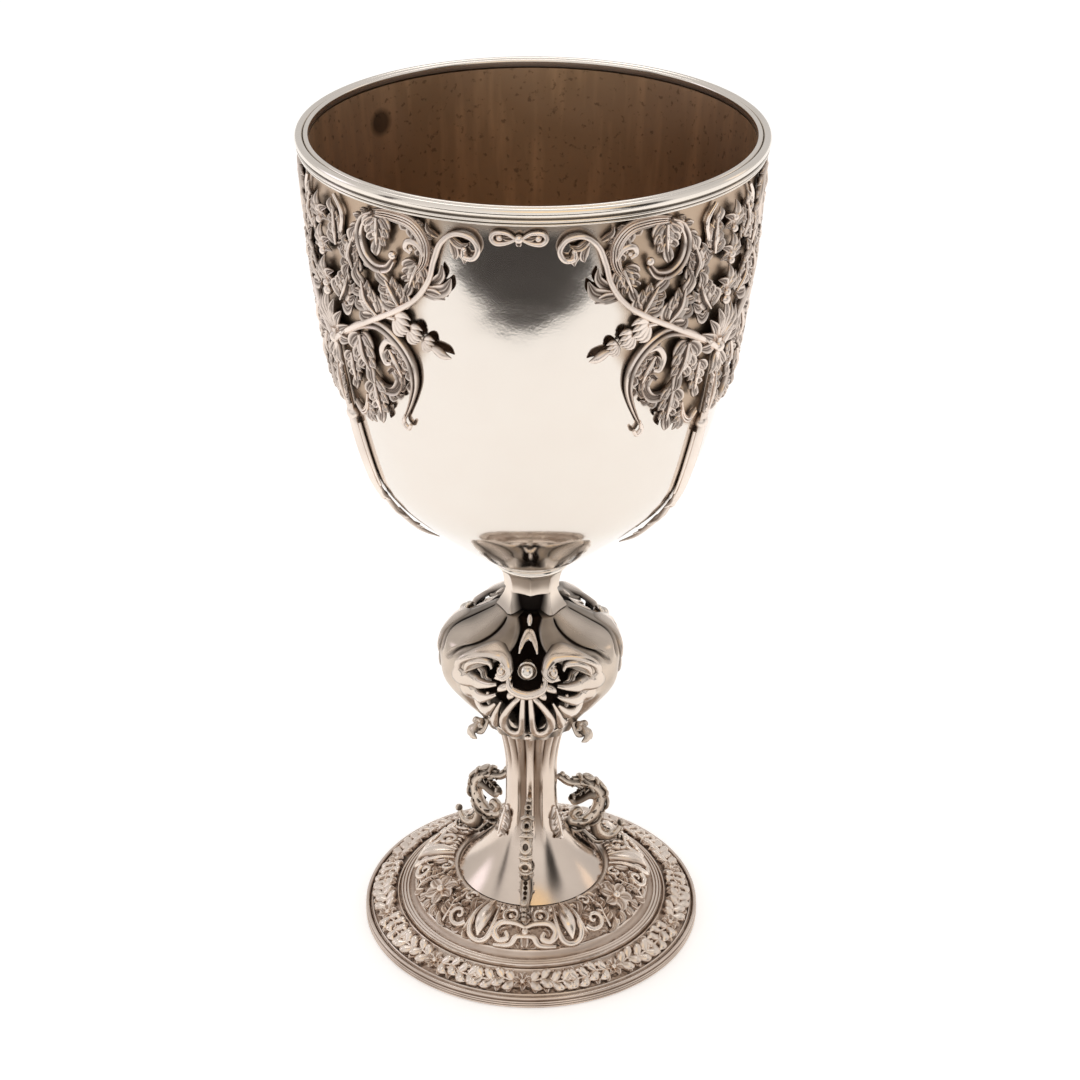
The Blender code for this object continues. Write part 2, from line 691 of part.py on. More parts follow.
# Knop pendant: a small leafy drop that hangs below each corner of the knop
def knop_pendants():
    half = 0.5 * PENDANT_THICKNESS
    top = KNOP_BASE + PENDANT_DROP
    root = knop_radius(math.pi / 3, top) + 2.0 * GAP + half
    low = top - PENDANT_LENGTH
    drop = [
        (0, root, top),
        (0, root + 0.3 * PENDANT_REACH, top - 0.45 * PENDANT_LENGTH),
        (0, root + PENDANT_REACH, top - 0.75 * PENDANT_LENGTH),
        (0, root + 0.8 * PENDANT_REACH, low),
    ]
    mesh = finished(wire(drop, (0.7 * half, 0.8 * half, 1.5 * half, 1.1 * half), 2))
    mesh.materials.clear()
    mesh.materials.append(silver("pendant_silver", CAST, 0.35))
    repeated(("knop_pendant_1", "knop_pendant_2", "knop_pendant_3"), mesh, MOUNT_AZIMUTHS)


# Neck: a waisted casting with flat facets, bored for the rod
def neck():
    outline = [
        (NECK_TOP_RADIUS, NECK_TOP),
        (0.5 * (NECK_TOP_RADIUS + NECK_WAIST_RADIUS), NECK_TOP - 0.12 * NECK_HEIGHT),
        (NECK_WAIST_RADIUS, NECK_TOP - 0.38 * NECK_HEIGHT),
        (NECK_WAIST_RADIUS + 0.1, NECK_TOP - 0.6 * NECK_HEIGHT),
        (0.5 * (KNOP_TOP_RADIUS + NECK_WAIST_RADIUS), NECK_BASE + 0.14 * NECK_HEIGHT),
        (KNOP_TOP_RADIUS, NECK_BASE),
        (NECK_BORE_RADIUS, NECK_BASE),
        (NECK_BORE_RADIUS, NECK_TOP),
    ]
    turned("neck", outline, silver("neck_silver", POLISHED, 0.2), NECK_FACETS)


# Bowl collar: a round moulding that is tapped for the rod and carries the bowl
def bowl_collar():
    half = 0.5 * COLLAR_HEIGHT
    outline = [(COLLAR_RADIUS - half, COLLAR_TOP)]
    outline += arc((COLLAR_RADIUS - half, COLLAR_BASE + half), (half, half), 60, -60, 2)
    outline += [(COLLAR_RADIUS - half, COLLAR_BASE), (ROD_RADIUS + GAP, COLLAR_BASE),
                (ROD_RADIUS + GAP, COLLAR_TOP)]
    turned("bowl_collar", outline, silver("collar_silver", POLISHED, 0.2), STEM_STEPS)


# The bowl's outline, as (share of depth, share of radius)
BOWL_OUTLINE = ((0.0, 0.19), (0.045, 0.325), (0.148, 0.572), (0.214, 0.701), (0.289, 0.787), (0.468, 0.883),
                (0.684, 0.949), (1.0, 1.0))


def bowl_radius(height):
    """The bowl's outer radius."""
    return BOWL_RADIUS * through(BOWL_OUTLINE, (height - BOWL_BASE) / BOWL_DEPTH)


def on_bowl(across, out, up):
    """A place off the bowl's outer surface, along its normal."""
    slope = bowl_radius(up + 0.5) - bowl_radius(up - 0.5)
    length = math.hypot(1.0, slope)
    stand = GAP + out
    return round_axis(bowl_radius(up) + stand / length, across / BOWL_RADIUS, up - slope * stand / length)


# Bowl: one raised shell, closed at the foot, whose floor rests on the collar
def bowl():
    levels = (1.0, 0.78, 0.56, 0.4, 0.29, 0.2, 0.12, 0.05, 0.0)
    outer = [(BOWL_RADIUS * through(BOWL_OUTLINE, level), BOWL_BASE + BOWL_DEPTH * level) for level in levels]
    inner = [point for point in offset(outer, BOWL_WALL) if point[1] > BOWL_BASE + 1.6 * BOWL_WALL]
    inner = [inner[0]] + inner[2::2]
    floor = BOWL_BASE + BOWL_WALL
    outline = [(0.0, floor), (0.6 * BOWL_FLOOR_RADIUS, floor)]
    outline += list(reversed(inner)) + outer + [(BOWL_FLOOR_RADIUS, BOWL_BASE), (0.0, BOWL_BASE)]
    turned("bowl", outline, silver("bowl_silver", POLISHED, 0.18), closed=False)


# Rim wire: a rounded bead over the bowl's edge with a reed below it
def rim_wire():
    bead_middle = BOWL_LIP + GAP + 0.42 * RIM_BEAD_HEIGHT
    bead_radius = BOWL_RADIUS - BOWL_WALL + RIM_BEAD_HALF_WIDTH
    bead_half = 0.58 * RIM_BEAD_HEIGHT
    seat = BOWL_RADIUS + GAP
    outline = arc((bead_radius, bead_middle), (RIM_BEAD_HALF_WIDTH, bead_half), 180, -50, 5)
    reed = RIM_BASE + REED_RADIUS + 0.2
    outline += arc((seat + 0.5, reed), (REED_RADIUS, REED_RADIUS), 60, -60, 2)
    outline += [(seat, RIM_BASE), (seat, BOWL_LIP + GAP), (BOWL_RADIUS - BOWL_WALL + 0.1, BOWL_LIP + GAP)]
    turned("rim_wire", outline, silver("rim_silver", POLISHED, 0.15))


# Foliate mount: an openwork casting of scrolls, leaves and buds, mirrored about a central bar
def foliage_mounts():
    wide = MOUNT_HALF_WIDTH / 46.4   # its points are drawn for a half width of 46.4 and a height of 56
    tall = MOUNT_HEIGHT / 56.0
    thin = MOUNT_STEM_RADIUS
    full = MOUNT_SCROLL_RADIUS

    def point(across, down, out=0.0):
        return (across * wide, full + out, MOUNT_TOP - down * tall)

    def frond(root, tip, width, lobes, bend, rise):
        start = (root[0] * wide, MOUNT_TOP - root[1] * tall)
        end = (tip[0] * wide, MOUNT_TOP - tip[1] * tall)
        return leaf(start, end, width * wide, lobes, bend * wide, rise)

    bar = [point(0, 1.0), point(0, 14), point(0, 34), point(0, 54.8)]
    meshes = [wire(bar, (full, 1.3 * full, 1.3 * full, full), 1)]
    for side in (1, -1):
        def mirrored(points, out):
            return [point(side * across, down, out) for across, down in points]

        def side_frond(root, tip, width, lobes, bend, rise):
            return frond((side * root[0], root[1]), (side * tip[0], tip[1]), width, lobes, side * bend, rise)

        stem = mirrored([(0.2, 36), (17, 27.5), (28, 20.5), (35, 10), (37.5, 3.6), (41.8, 1.7), (45.2, 4.4),
                         (43.2, 7.6), (40.8, 5.6)], 0.32)
        ring = mirrored([(25.2, 22.0), (27.0, 17), (22, 14), (16.6, 10.4), (17, 3.6), (21, 1.4)], 0.0)
        band = mirrored([(20.2, 1.9), (29.5, 1.5), (34, 7.4), (30, 13.6)], 0.12)
        scroll = mirrored([(14.5, 28.8), (22.5, 30.2), (27.6, 37.6), (24.2, 46.4)], 0.2)
        curl = mirrored([(21.6, 30.0), (18.4, 36.0), (23.8, 37.6)], 0.06)
        side_bar = mirrored([(0.4, 11.6), (8.8, 12.6), (9.0, 31.0)], 0.04)
        low_bar = mirrored([(0.3, 50.6), (9.8, 31.6)], 0.1)
        meshes += [
            wire(stem, (thin, thin, thin, 0.8 * thin)),
            wire(ring, (0.8 * full, full, full, 0.8 * full)),
            wire(band, (0.8 * full, full, full, 0.7 * full)),
            wire(scroll, (0.8 * full, 1.1 * full, full, 0.7 * full)),
            wire(curl, (0.8 * full, full, 0.8 * full)),
            wire(side_bar, (0.8 * full, full, full, 0.8 * full)),
            wire(low_bar, (0.8 * full, full, full, 0.8 * full)),
            side_frond((19.0, 26.2), (37.2, 30.8), 6.8, 3, 0.4, 0.45),
            side_frond((29.2, 19.6), (38.8, 12.6), 5.2, 3, -0.6, 0.5),
            side_frond((8.6, 32), (17.0, 51.4), 6.0, 3, 0.8, 0.37),
            side_frond((9.0, 12.9), (3.4, 2.4), 4.6, 2, 0.5, 0.53),
        ]
    casting = fused("foliage_mount", meshes, silver("mount_silver", CAST, 0.35))
    names = ("foliage_mount_1", "foliage_mount_2", "foliage_mount_3")
    repeated(names, wrapped(casting, on_bowl), MOUNT_AZIMUTHS)


# Bowl drop: a smooth bar with two pairs of leaf tips, below each foliate mount
def bowl_drops():
    top = MOUNT_BOTTOM - GAP - 0.5
    half = 0.5 * DROP_WIDTH
    bar_end = top - 0.6 * DROP_LENGTH
    tip = top - DROP_LENGTH
    bar = [(0, 1.0, top - 0.8), (0, 1.0, top - 0.3 * DROP_LENGTH), (0, 1.0, bar_end)]
    meshes = [wire(bar, (0.8, 1.1, 1.2), 2, half / 1.2)]
    for side in (1, -1):
        middle = bar_end - 0.5 * (bar_end - tip)
        meshes.append(leaf((side * 0.3, bar_end + 1.6), (side * 2.6, middle + 0.6), 2.6, 2, rise=0.2))
    meshes.append(leaf((0, bar_end + 1.0), (0, tip), 3.4, 4, rise=0.1, thickness=1.6))
    casting = fused("bowl_drop", meshes, silver("drop_silver", CAST, 0.3), 0.7)
    repeated(("bowl_drop_1", "bowl_drop_2", "bowl_drop_3"), wrapped(casting, on_bowl), MOUNT_AZIMUTHS)


# Rim clasp: a small ribbon bow under the rim, at the middle of each panel
def rim_clasps():
    middle = MOUNT_TOP - 0.2 - 0.5 * CLASP_HEIGHT
    half = 0.5 * CLASP_WIDTH
    rise = 0.5 * CLASP_HEIGHT - 0.7
    meshes = [wire([(-1.6, 0.9, middle), (0, 1.0, middle), (1.6, 0.9, middle)], (0.7, 1.1, 0.7))]
    for side in (1, -1):
        bow = [(side * 0.6, 0.8, middle), (side * 0.55 * half, 0.8, middle + rise),
               (side * (half - 0.8), 0.8, middle), (side * 0.55 * half, 0.8, middle - rise),
               (side * 0.6, 0.8, middle - 0.1)]
        meshes.append(wire(bow, (0.6, 0.75, 0.6), 2))
    casting = fused("rim_clasp", meshes, silver("clasp_silver", CAST, 0.3), 0.6)
    repeated(("rim_clasp_1", "rim_clasp_2", "rim_clasp_3"), wrapped(casting, on_bowl), PANEL_AZIMUTHS)


# Tie rod, washer and nut: they clamp dome, stem, knop and neck under the collar
def tie_rod_set():
    lip_under = DOME_TOP - SHEET
    washer_top = lip_under - GAP
    washer_base = washer_top - WASHER_THICKNESS
    nut_top = washer_base - GAP
    nut_base = nut_top - NUT_HEIGHT
    washer_radius = DOME_INNER_RADIUS + WASHER_OVERLAP
    bore = ROD_RADIUS + GAP
    steel = silver("rod_steel", STEEL, 0.4)
    washer = [(washer_radius, washer_top), (washer_radius, washer_base), (bore, washer_base),
              (bore, washer_top)]
    turned("tie_washer", washer, steel, STEM_STEPS)
    nut_bore = bore / math.cos(math.pi / 6)
    nut = [(NUT_RADIUS, nut_top), (NUT_RADIUS, nut_base), (nut_bore, nut_base), (nut_bore, nut_top)]
    turned("tie_nut", nut, steel, 6)
    rod = [(0, COLLAR_TOP - GAP), (ROD_RADIUS, COLLAR_TOP - GAP), (ROD_RADIUS, nut_base - ROD_TAIL),
           (0, nut_base - ROD_TAIL)]
    turned("tie_rod", rod, steel, 16, closed=False)


base_ring()
foot_flange()
foot_dome()
stem_trumpet()
stem_brackets()
stem_leaves()
knop_body()
knop_cartouches()
knop_bosses()
knop_pendants()
neck()
bowl_collar()
bowl()
rim_wire()
foliage_mounts()
bowl_drops()
rim_clasps()
tie_rod_set()
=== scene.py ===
"""A silver presentation goblet in its studio light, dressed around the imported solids.

Lengths are in millimetres and become metres through MM. The goblet stands on z = 0 with its axis
on Z, and its front panel faces -Y. An azimuth is counted from the front towards +X.
"""

import math

import bmesh
import bpy
import numpy as np
from mathutils import Matrix, Vector


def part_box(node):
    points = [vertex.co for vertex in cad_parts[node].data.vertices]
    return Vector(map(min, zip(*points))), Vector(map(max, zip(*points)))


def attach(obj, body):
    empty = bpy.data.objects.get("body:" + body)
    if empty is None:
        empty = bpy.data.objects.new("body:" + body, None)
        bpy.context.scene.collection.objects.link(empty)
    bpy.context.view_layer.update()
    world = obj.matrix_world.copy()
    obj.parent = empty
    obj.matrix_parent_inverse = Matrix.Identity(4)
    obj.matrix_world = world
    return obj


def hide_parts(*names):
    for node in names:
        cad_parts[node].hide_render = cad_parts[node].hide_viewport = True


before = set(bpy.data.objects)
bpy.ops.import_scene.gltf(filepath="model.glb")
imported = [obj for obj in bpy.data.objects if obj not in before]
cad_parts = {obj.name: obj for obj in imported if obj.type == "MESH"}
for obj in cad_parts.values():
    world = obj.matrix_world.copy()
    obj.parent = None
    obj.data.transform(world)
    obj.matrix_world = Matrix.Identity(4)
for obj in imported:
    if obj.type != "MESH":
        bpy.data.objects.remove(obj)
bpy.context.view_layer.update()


# The table and the studio light
# A pale matt table, a pale tent of light round it, and dark flags whose reflections draw the
# silver's shapes. The camera looks down on the goblet from a little to the right of its front.
MM = 0.001
CAMERA_DISTANCE = 598.0
CAMERA_AZIMUTH = math.radians(3.0)
CAMERA_PITCH = math.radians(28.13)
CAMERA_ROLL = math.radians(0.24)
AIM_ASIDE = 1.93
AIM_HEIGHT = 109.2
TABLE_RADIUS = 4000.0
TABLE_LIFT = 0.4              # what brings the lit board up to white where it is seen
FADE_FROM = 0.3               # the share of its half width at which a fading card starts to thin out


def linear(colour):
    """A hex colour, as a screen shows it, in the linear values that a shader takes."""
    shares = [int(colour[i:i + 2], 16) / 255 for i in (0, 2, 4)]
    return tuple(v / 12.92 if v <= 0.04045 else ((v + 0.055) / 1.055) ** 2.4 for v in shares) + (1.0,)


def add(tree, kind, sockets=None, **settings):
    """A node with its settings; a socket takes a value, or another node's output as its link."""
    made = tree.nodes.new(kind)
    for name, value in settings.items():
        setattr(made, name, value)
    for name, value in (sockets or {}).items():
        if isinstance(value, bpy.types.NodeSocket):
            tree.links.new(value, made.inputs[name])
        else:
            made.inputs[name].default_value = value
    return made


def ranged(tree, value, low, high, to_low=0.0, to_high=1.0):
    """A value's place between low and high, given as the same place in another range."""
    return add(tree, "ShaderNodeMapRange", {"Value": value, "From Min": low, "From Max": high,
                                            "To Min": to_low, "To Max": to_high}).outputs["Result"]


def aside(across, out, up, azimuth=0.0):
    """A point in metres: across to the right, out towards the viewer, up, then turned about the axis."""
    return Matrix.Rotation(azimuth, 3, "Z") @ Vector((across, -out, up)) * MM


def sighted(thing, target, roll=0.0):
    """Turn a lamp, a flag or the camera to face a target."""
    aim = (target - thing.location).to_track_quat("-Z", "Y")
    thing.rotation_euler = (aim.to_matrix() @ Matrix.Rotation(roll, 3, "Z")).to_euler()


camera = bpy.data.objects.new("camera", bpy.data.cameras.new("camera"))
bpy.context.scene.collection.objects.link(camera)
camera.data.lens = 81.82
camera.data.sensor_width = 36.0
camera.data.clip_start = 0.01
aim = aside(AIM_ASIDE, 0.0, AIM_HEIGHT, CAMERA_AZIMUTH)
camera.location = aim + aside(0.0, CAMERA_DISTANCE * math.cos(CAMERA_PITCH),
                              CAMERA_DISTANCE * math.sin(CAMERA_PITCH), CAMERA_AZIMUTH)
sighted(camera, aim, CAMERA_ROLL)
bpy.context.scene.camera = camera


def card(name, width, height, centre, target, colour, strength=0.0, fading=False):
    """A flat card of the studio: a flag if it doesn't shine, a soft box if it does.

    A fading card thins out to nothing at its edges. No card is in the picture itself.
    """
    mesh = bpy.data.meshes.new(name)
    half, tall = 0.5 * width * MM, 0.5 * height * MM
    mesh.from_pydata([(-half, -tall, 0), (half, -tall, 0), (half, tall, 0), (-half, tall, 0)], [],
                     [(0, 1, 2, 3)])
    thing = bpy.data.objects.new(name, mesh)
    bpy.context.scene.collection.objects.link(thing)
    thing.location = centre
    sighted(thing, target)
    material = bpy.data.materials.new(name)
    material.use_nodes = True
    shader = material.node_tree.nodes["Principled BSDF"]
    shader.inputs["Base Color"].default_value = linear(colour)
    shader.inputs["Roughness"].default_value = 0.9
    shader.inputs["Emission Color"].default_value = linear(colour)
    shader.inputs["Emission Strength"].default_value = strength
    if fading:
        tree = material.node_tree
        where = add(tree, "ShaderNodeTexCoord").outputs["Object"]
        share = add(tree, "ShaderNodeVectorMath", {0: where, 1: (1 / half, 1 / tall, 0.0)},
                    operation="MULTIPLY")
        off = add(tree, "ShaderNodeVectorMath", {0: share.outputs[0]}, operation="LENGTH").outputs["Value"]
        kept = add(tree, "ShaderNodeMapRange", {"Value": off, "From Min": 1.0, "From Max": FADE_FROM},
                   interpolation_type="SMOOTHSTEP").outputs["Result"]
        clear = add(tree, "ShaderNodeBsdfTransparent").outputs[0]
        mixed = add(tree, "ShaderNodeMixShader", {0: kept, 1: clear, 2: shader.outputs[0]})
        tree.links.new(mixed.outputs[0], tree.nodes["Material Output"].inputs["Surface"])
    mesh.materials.append(material)
    thing.visible_camera = False
    if not strength:
        thing.visible_shadow = False
        thing.visible_diffuse = False


def table():
    """The white board under the goblet, which shines a little where the eye or a reflection meets it."""
    mesh = bpy.data.meshes.new("table")
    shape = bmesh.new()
    bmesh.ops.create_circle(shape, cap_ends=True, radius=TABLE_RADIUS * MM, segments=96)
    shape.to_mesh(mesh)
    shape.free()
    thing = bpy.data.objects.new("table", mesh)
    bpy.context.scene.collection.objects.link(thing)
    material = bpy.data.materials.new("matt_white_board")
    material.use_nodes = True
    tree = material.node_tree
    shader = tree.nodes["Principled BSDF"]
    shader.inputs["Base Color"].default_value = linear("F4F3F1")
    shader.inputs["Roughness"].default_value = 0.8
    shader.inputs["Specular IOR Level"].default_value = 0.0
    seen = add(tree, "ShaderNodeLightPath").outputs
    shown = add(tree, "ShaderNodeMath", {0: seen["Is Camera Ray"], 1: seen["Is Glossy Ray"]},
                operation="MAXIMUM")
    shown = add(tree, "ShaderNodeMath", {0: shown.outputs[0], 1: seen["Is Transmission Ray"]},
                operation="MAXIMUM")
    lifted = add(tree, "ShaderNodeMath", {0: shown.outputs[0], 1: TABLE_LIFT},
                 operation="MULTIPLY").outputs[0]
    shader.inputs["Emission Color"].default_value = (1.0, 1.0, 1.0, 1.0)
    tree.links.new(lifted, shader.inputs["Emission Strength"])
    mesh.materials.append(material)


table()
card("dark_floor_in_front", 1100, 420, aside(0, 540, 2), aside(0, 540, 500), "3D3937")
card("dark_flag_right", 330, 680, aside(0, 480, 300, math.radians(52)), aside(0, 0, 90), "2B2928",
     fading=True)
card("dark_flag_left", 120, 560, aside(0, 480, 280, math.radians(-64)), aside(0, 0, 90), "4A4543",
     fading=True)
card("warm_card", 360, 170, aside(60, 190, 360), aside(10, 0, 20), "EAD0A4", 0.7, fading=True)
card("soft_box_left", 360, 420, aside(0, 620, 380, math.radians(-100)), aside(0, 0, 80), "EFEDF8", 0.85,
     fading=True)
card("soft_box_right", 240, 420, aside(0, 620, 380, math.radians(112)), aside(0, 0, 80), "F3E8DC", 0.5,
     fading=True)
card("soft_box_above", 420, 200, aside(-40, -260, 700), aside(0, 0, 80), "FFFFFF", 1.3)
world = bpy.data.worlds.new("studio")
bpy.context.scene.world = world
world.use_nodes = True
tree = world.node_tree
towards = add(tree, "ShaderNodeNewGeometry").outputs["Incoming"]
front = add(tree, "ShaderNodeVectorMath", {0: towards, 1: (0.0, 0.94, 0.34)}, operation="DOT_PRODUCT")
share = ranged(tree, front.outputs["Value"], -0.8, 0.7, 0.68, 0.95)
tree.links.new(share, tree.nodes["Background"].inputs["Strength"])
tree.nodes["Background"].inputs["Color"].default_value = linear("F9F7F6")
bpy.context.scene.view_settings.view_transform = "Standard"


# Base ring
# The edge moulding of the foot: a thin polished reed over a side of three fine ones, drawn as one
# silver wire, bent to a ring and soldered. It is made as a section that follows a circle.
RING_BORE = 39.5
CLOUDS = 85.0                 # of tarnish in a metre, each about 12 mm wide
GRAINS = 1600.0               # polishing marks in a metre, each about 0.6 mm wide
WAVES = 110.0                 # of the hammer in a metre, each about 9 mm wide
PUNCHES = 1100.0              # of the matting punch in a metre, each about 0.9 mm wide


def noise(tree, where, scale, detail):
    """A cloudy pattern with so many clouds in a metre."""
    return add(tree, "ShaderNodeTexNoise", {"Vector": where, "Scale": scale, "Detail": detail}).outputs["Fac"]


def silver(name, bright, tarnish_and_shade_colour, roughness, wear=0.5, worked=0.2, punched=0.0):
    """Sterling silver that took its shine from burnishing and kept its tarnish where no cloth reaches.

    The attribute tarnish_and_shade, 0 to 1, says how far a point takes the dark colour: tarnish in its
    hollows, and painted shade under and behind parts and deep in openings. wear is the strength of the
    tarnish's clouds, worked that of the hammered waves, and punched that of the dots on matted deep ground.
    """
    material = bpy.data.materials.new(name)
    material.use_nodes = True
    tree = material.node_tree
    shader = tree.nodes["Principled BSDF"]
    shader.inputs["Metallic"].default_value = 1.0
    where = add(tree, "ShaderNodeTexCoord").outputs["Object"]
    tarnish_and_shade = add(tree, "ShaderNodeAttribute", attribute_name="tarnish_and_shade").outputs["Fac"]
    grain = noise(tree, where, GRAINS, 2.0)
    uneven = ranged(tree, noise(tree, where, CLOUDS, 3.0), 0.35, 0.75, 0.0, wear * 0.35)
    # depth is the dark colour's share: tarnish and painted shade from the attribute, with random clouds of
    # tarnish
    depth = add(tree, "ShaderNodeMath", {0: tarnish_and_shade, 1: uneven}, operation="ADD", use_clamp=True).outputs[0]
    colour = add(tree, "ShaderNodeMix", {0: depth, 6: linear(bright), 7: linear(tarnish_and_shade_colour)}, data_type="RGBA")
    tree.links.new(colour.outputs[2], shader.inputs["Base Color"])
    dull = ranged(tree, depth, 0.0, 1.0, roughness, roughness + 0.35)
    rough = add(tree, "ShaderNodeMath", {0: grain, 1: 0.12 * roughness, 2: dull},
                operation="MULTIPLY_ADD").outputs[0]
    tree.links.new(rough, shader.inputs["Roughness"])
    wave = noise(tree, where, WAVES, 1.0)
    hammered = add(tree, "ShaderNodeBump", {"Height": wave, "Strength": worked, "Distance": 0.0006})
    surface = hammered.outputs["Normal"]
    if punched:
        dots = add(tree, "ShaderNodeTexVoronoi", {"Vector": where, "Scale": PUNCHES}).outputs["Distance"]
        deep = ranged(tree, tarnish_and_shade, 0.5, 0.7, 0.0, punched)
        surface = add(tree, "ShaderNodeBump", {"Height": dots, "Strength": deep, "Distance": 0.0004,
                                               "Normal": surface}).outputs["Normal"]
    marks = add(tree, "ShaderNodeBump", {"Height": grain, "Strength": 0.25, "Distance": 0.00002,
                                         "Normal": surface})
    tree.links.new(marks.outputs["Normal"], shader.inputs["Normal"])
    return material


# Satin from handling, with brown lines between the reeds, which makes the edge read as fine threads.
RING_SILVER = silver("edge_moulding_sterling", "E9D9CC", "7A6250", 0.22, wear=0.8, worked=0.1)


def dressed(thing, slot, *nodes):
    """Let a finished piece stand for its CAD nodes."""
    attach(thing, "root")
    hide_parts(*nodes)


def plain_object(name, points, edges, faces, tarnish_and_shade):
    """An object from points in metres, with its tarnish and painted shade in the attribute tarnish_and_shade.
    """
    mesh = bpy.data.meshes.new(name)
    mesh.from_pydata(points, edges, faces)
    shade = mesh.attributes.new("tarnish_and_shade", "FLOAT", "POINT")
    shade.data.foreach_set("value", np.asarray(tarnish_and_shade, np.float32))
    thing = bpy.data.objects.new(name, mesh)
    bpy.context.scene.collection.objects.link(thing)
    return thing


def object_from(name, vertices, faces, material, tarnish_and_shade, turn=0.0):
    """A finished object from points in millimetres, turned about the axis by an angle."""
    points = np.asarray(vertices, float) * MM
    cosine, sine = math.cos(turn), math.sin(turn)
    turned_points = np.column_stack((points[:, 0] * cosine - points[:, 1] * sine,
                                     points[:, 0] * sine + points[:, 1] * cosine, points[:, 2]))
    thing = plain_object(name, turned_points.tolist(), [], faces, tarnish_and_shade)
    mesh = thing.data
    mesh.materials.append(material)
    shape = bmesh.new()
    shape.from_mesh(mesh)
    bmesh.ops.remove_doubles(shape, verts=shape.verts, dist=0.000001)
    bmesh.ops.recalc_face_normals(shape, faces=shape.faces)
    shape.to_mesh(mesh)
    shape.free()
    mesh.shade_smooth()
    mesh.set_sharp_from_angle(angle=math.radians(50))
    return thing


def smooth(stations, count):
    """count points along a smooth curve through the stations."""
    points = np.asarray(stations, float).reshape(len(stations), -1)
    points = np.vstack((2 * points[0] - points[1], points, 2 * points[-1] - points[-2]))
    place = np.linspace(0, len(points) - 3, count)
    span = np.minimum(place.astype(int), len(points) - 4)
    t = (place - span)[:, None]
    a, b, c, d = points[span], points[span + 1], points[span + 2], points[span + 3]
    return 0.5 * (2 * b + (c - a) * t + (2 * a - 5 * b + 4 * c - d) * t**2 + (3 * b - a - 3 * c + d) * t**3)


def turned(name, outline, tarnish_and_shade, material, steps, closed=True):
    """A turned piece; outline is a list of (radius, height), with each point's tarnish and painted shade in
    tarnish_and_shade.
    """
    outline = np.asarray(outline, float)
    count = len(outline)
    angles = np.linspace(0, math.tau, steps, endpoint=False)
    rings = np.stack((outline[None, :, 0] * np.cos(angles)[:, None],
                      outline[None, :, 0] * np.sin(angles)[:, None],
                      np.broadcast_to(outline[None, :, 1], (steps, count))), axis=2)
    faces = []
    last = count if closed else count - 1
    for i in range(steps):
        after = (i + 1) % steps
        for k in range(last):
            up = (k + 1) % count
            faces.append((i * count + k, after * count + k, after * count + up, i * count + up))
    return object_from(name, rings.reshape(-1, 3), faces, material, np.tile(tarnish_and_shade, steps))


def arc(centre, radii, start, end, count):
    """Points along an elliptical arc, with its angles in degrees."""
    angles = np.radians(np.linspace(start, end, count))
    return [(centre[0] + radii[0] * math.cos(a), centre[1] + radii[1] * math.sin(a)) for a in angles]


def evaluated(name, source, tree, values, material):
    """The plain mesh that a node tree makes from a source object, at the origin."""
    modifier = source.modifiers.new(name, "NODES")
    modifier.node_group = tree
    values = values | {"Metal": material}
    for item in tree.interface.items_tree:
        if item.in_out == "INPUT" and item.name in values:
            modifier[item.identifier] = values[item.name]
    bpy.context.view_layer.update()
    mesh = bpy.data.meshes.new_from_object(source.evaluated_get(bpy.context.evaluated_depsgraph_get()))
    bpy.data.objects.remove(source, do_unlink=True)
    points = np.empty(len(mesh.vertices) * 3, np.float32)
    mesh.vertices.foreach_get("co", points)
    tarnish_and_shade = np.empty(len(mesh.vertices), np.float32)
    mesh.attributes["tarnish_and_shade"].data.foreach_get("value", tarnish_and_shade)
    faces = [tuple(face.vertices) for face in mesh.polygons]
    return object_from(name, points.reshape(-1, 3) / MM, faces, material, tarnish_and_shade)


def tree_with(name, sockets):
    """An empty node tree with named inputs and a geometry output, and its input node."""
    tree = bpy.data.node_groups.new(name, "GeometryNodeTree")
    for socket, kind in sockets:
        tree.interface.new_socket(socket, in_out="INPUT", socket_type=kind)
    tree.interface.new_socket("Geometry", in_out="OUTPUT", socket_type="NodeSocketGeometry")
    return tree, add(tree, "NodeGroupInput").outputs


MOULDING, given = tree_with("moulding_on_a_ring",
                            (("Section", "NodeSocketGeometry"), ("Radius", "NodeSocketFloat"),
                             ("Steps", "NodeSocketInt"), ("Metal", "NodeSocketMaterial")))
circle = add(MOULDING, "GeometryNodeCurvePrimitiveCircle",
             {"Resolution": given["Steps"], "Radius": given["Radius"]})
drawn = add(MOULDING, "GeometryNodeMeshToCurve", {"Mesh": given["Section"]})
bent = add(MOULDING, "GeometryNodeCurveToMesh", {"Curve": circle.outputs["Curve"],
                                                 "Profile Curve": drawn.outputs["Curve"]})
whole = add(MOULDING, "GeometryNodeRealizeInstances", {"Geometry": bent.outputs["Mesh"]})
plated = add(MOULDING, "GeometryNodeSetMaterial", {"Geometry": whole.outputs["Geometry"],
                                                   "Material": given["Metal"]})
add(MOULDING, "NodeGroupOutput", {"Geometry": plated.outputs["Geometry"]})


def moulding(name, outline, tarnish_and_shade, material, steps=240):
    """A closed section of (radius, height) points that follows a circle round the axis."""
    centre = 0.5 * (min(r for r, z in outline) + max(r for r, z in outline))
    points = [((r - centre) * MM, -z * MM, 0.0) for r, z in outline]
    edges = [(i, (i + 1) % len(outline)) for i in range(len(outline))]
    source = plain_object(name, points, edges, [], tarnish_and_shade)
    return evaluated(name, source, MOULDING, {"Radius": centre * MM, "Steps": steps}, material)


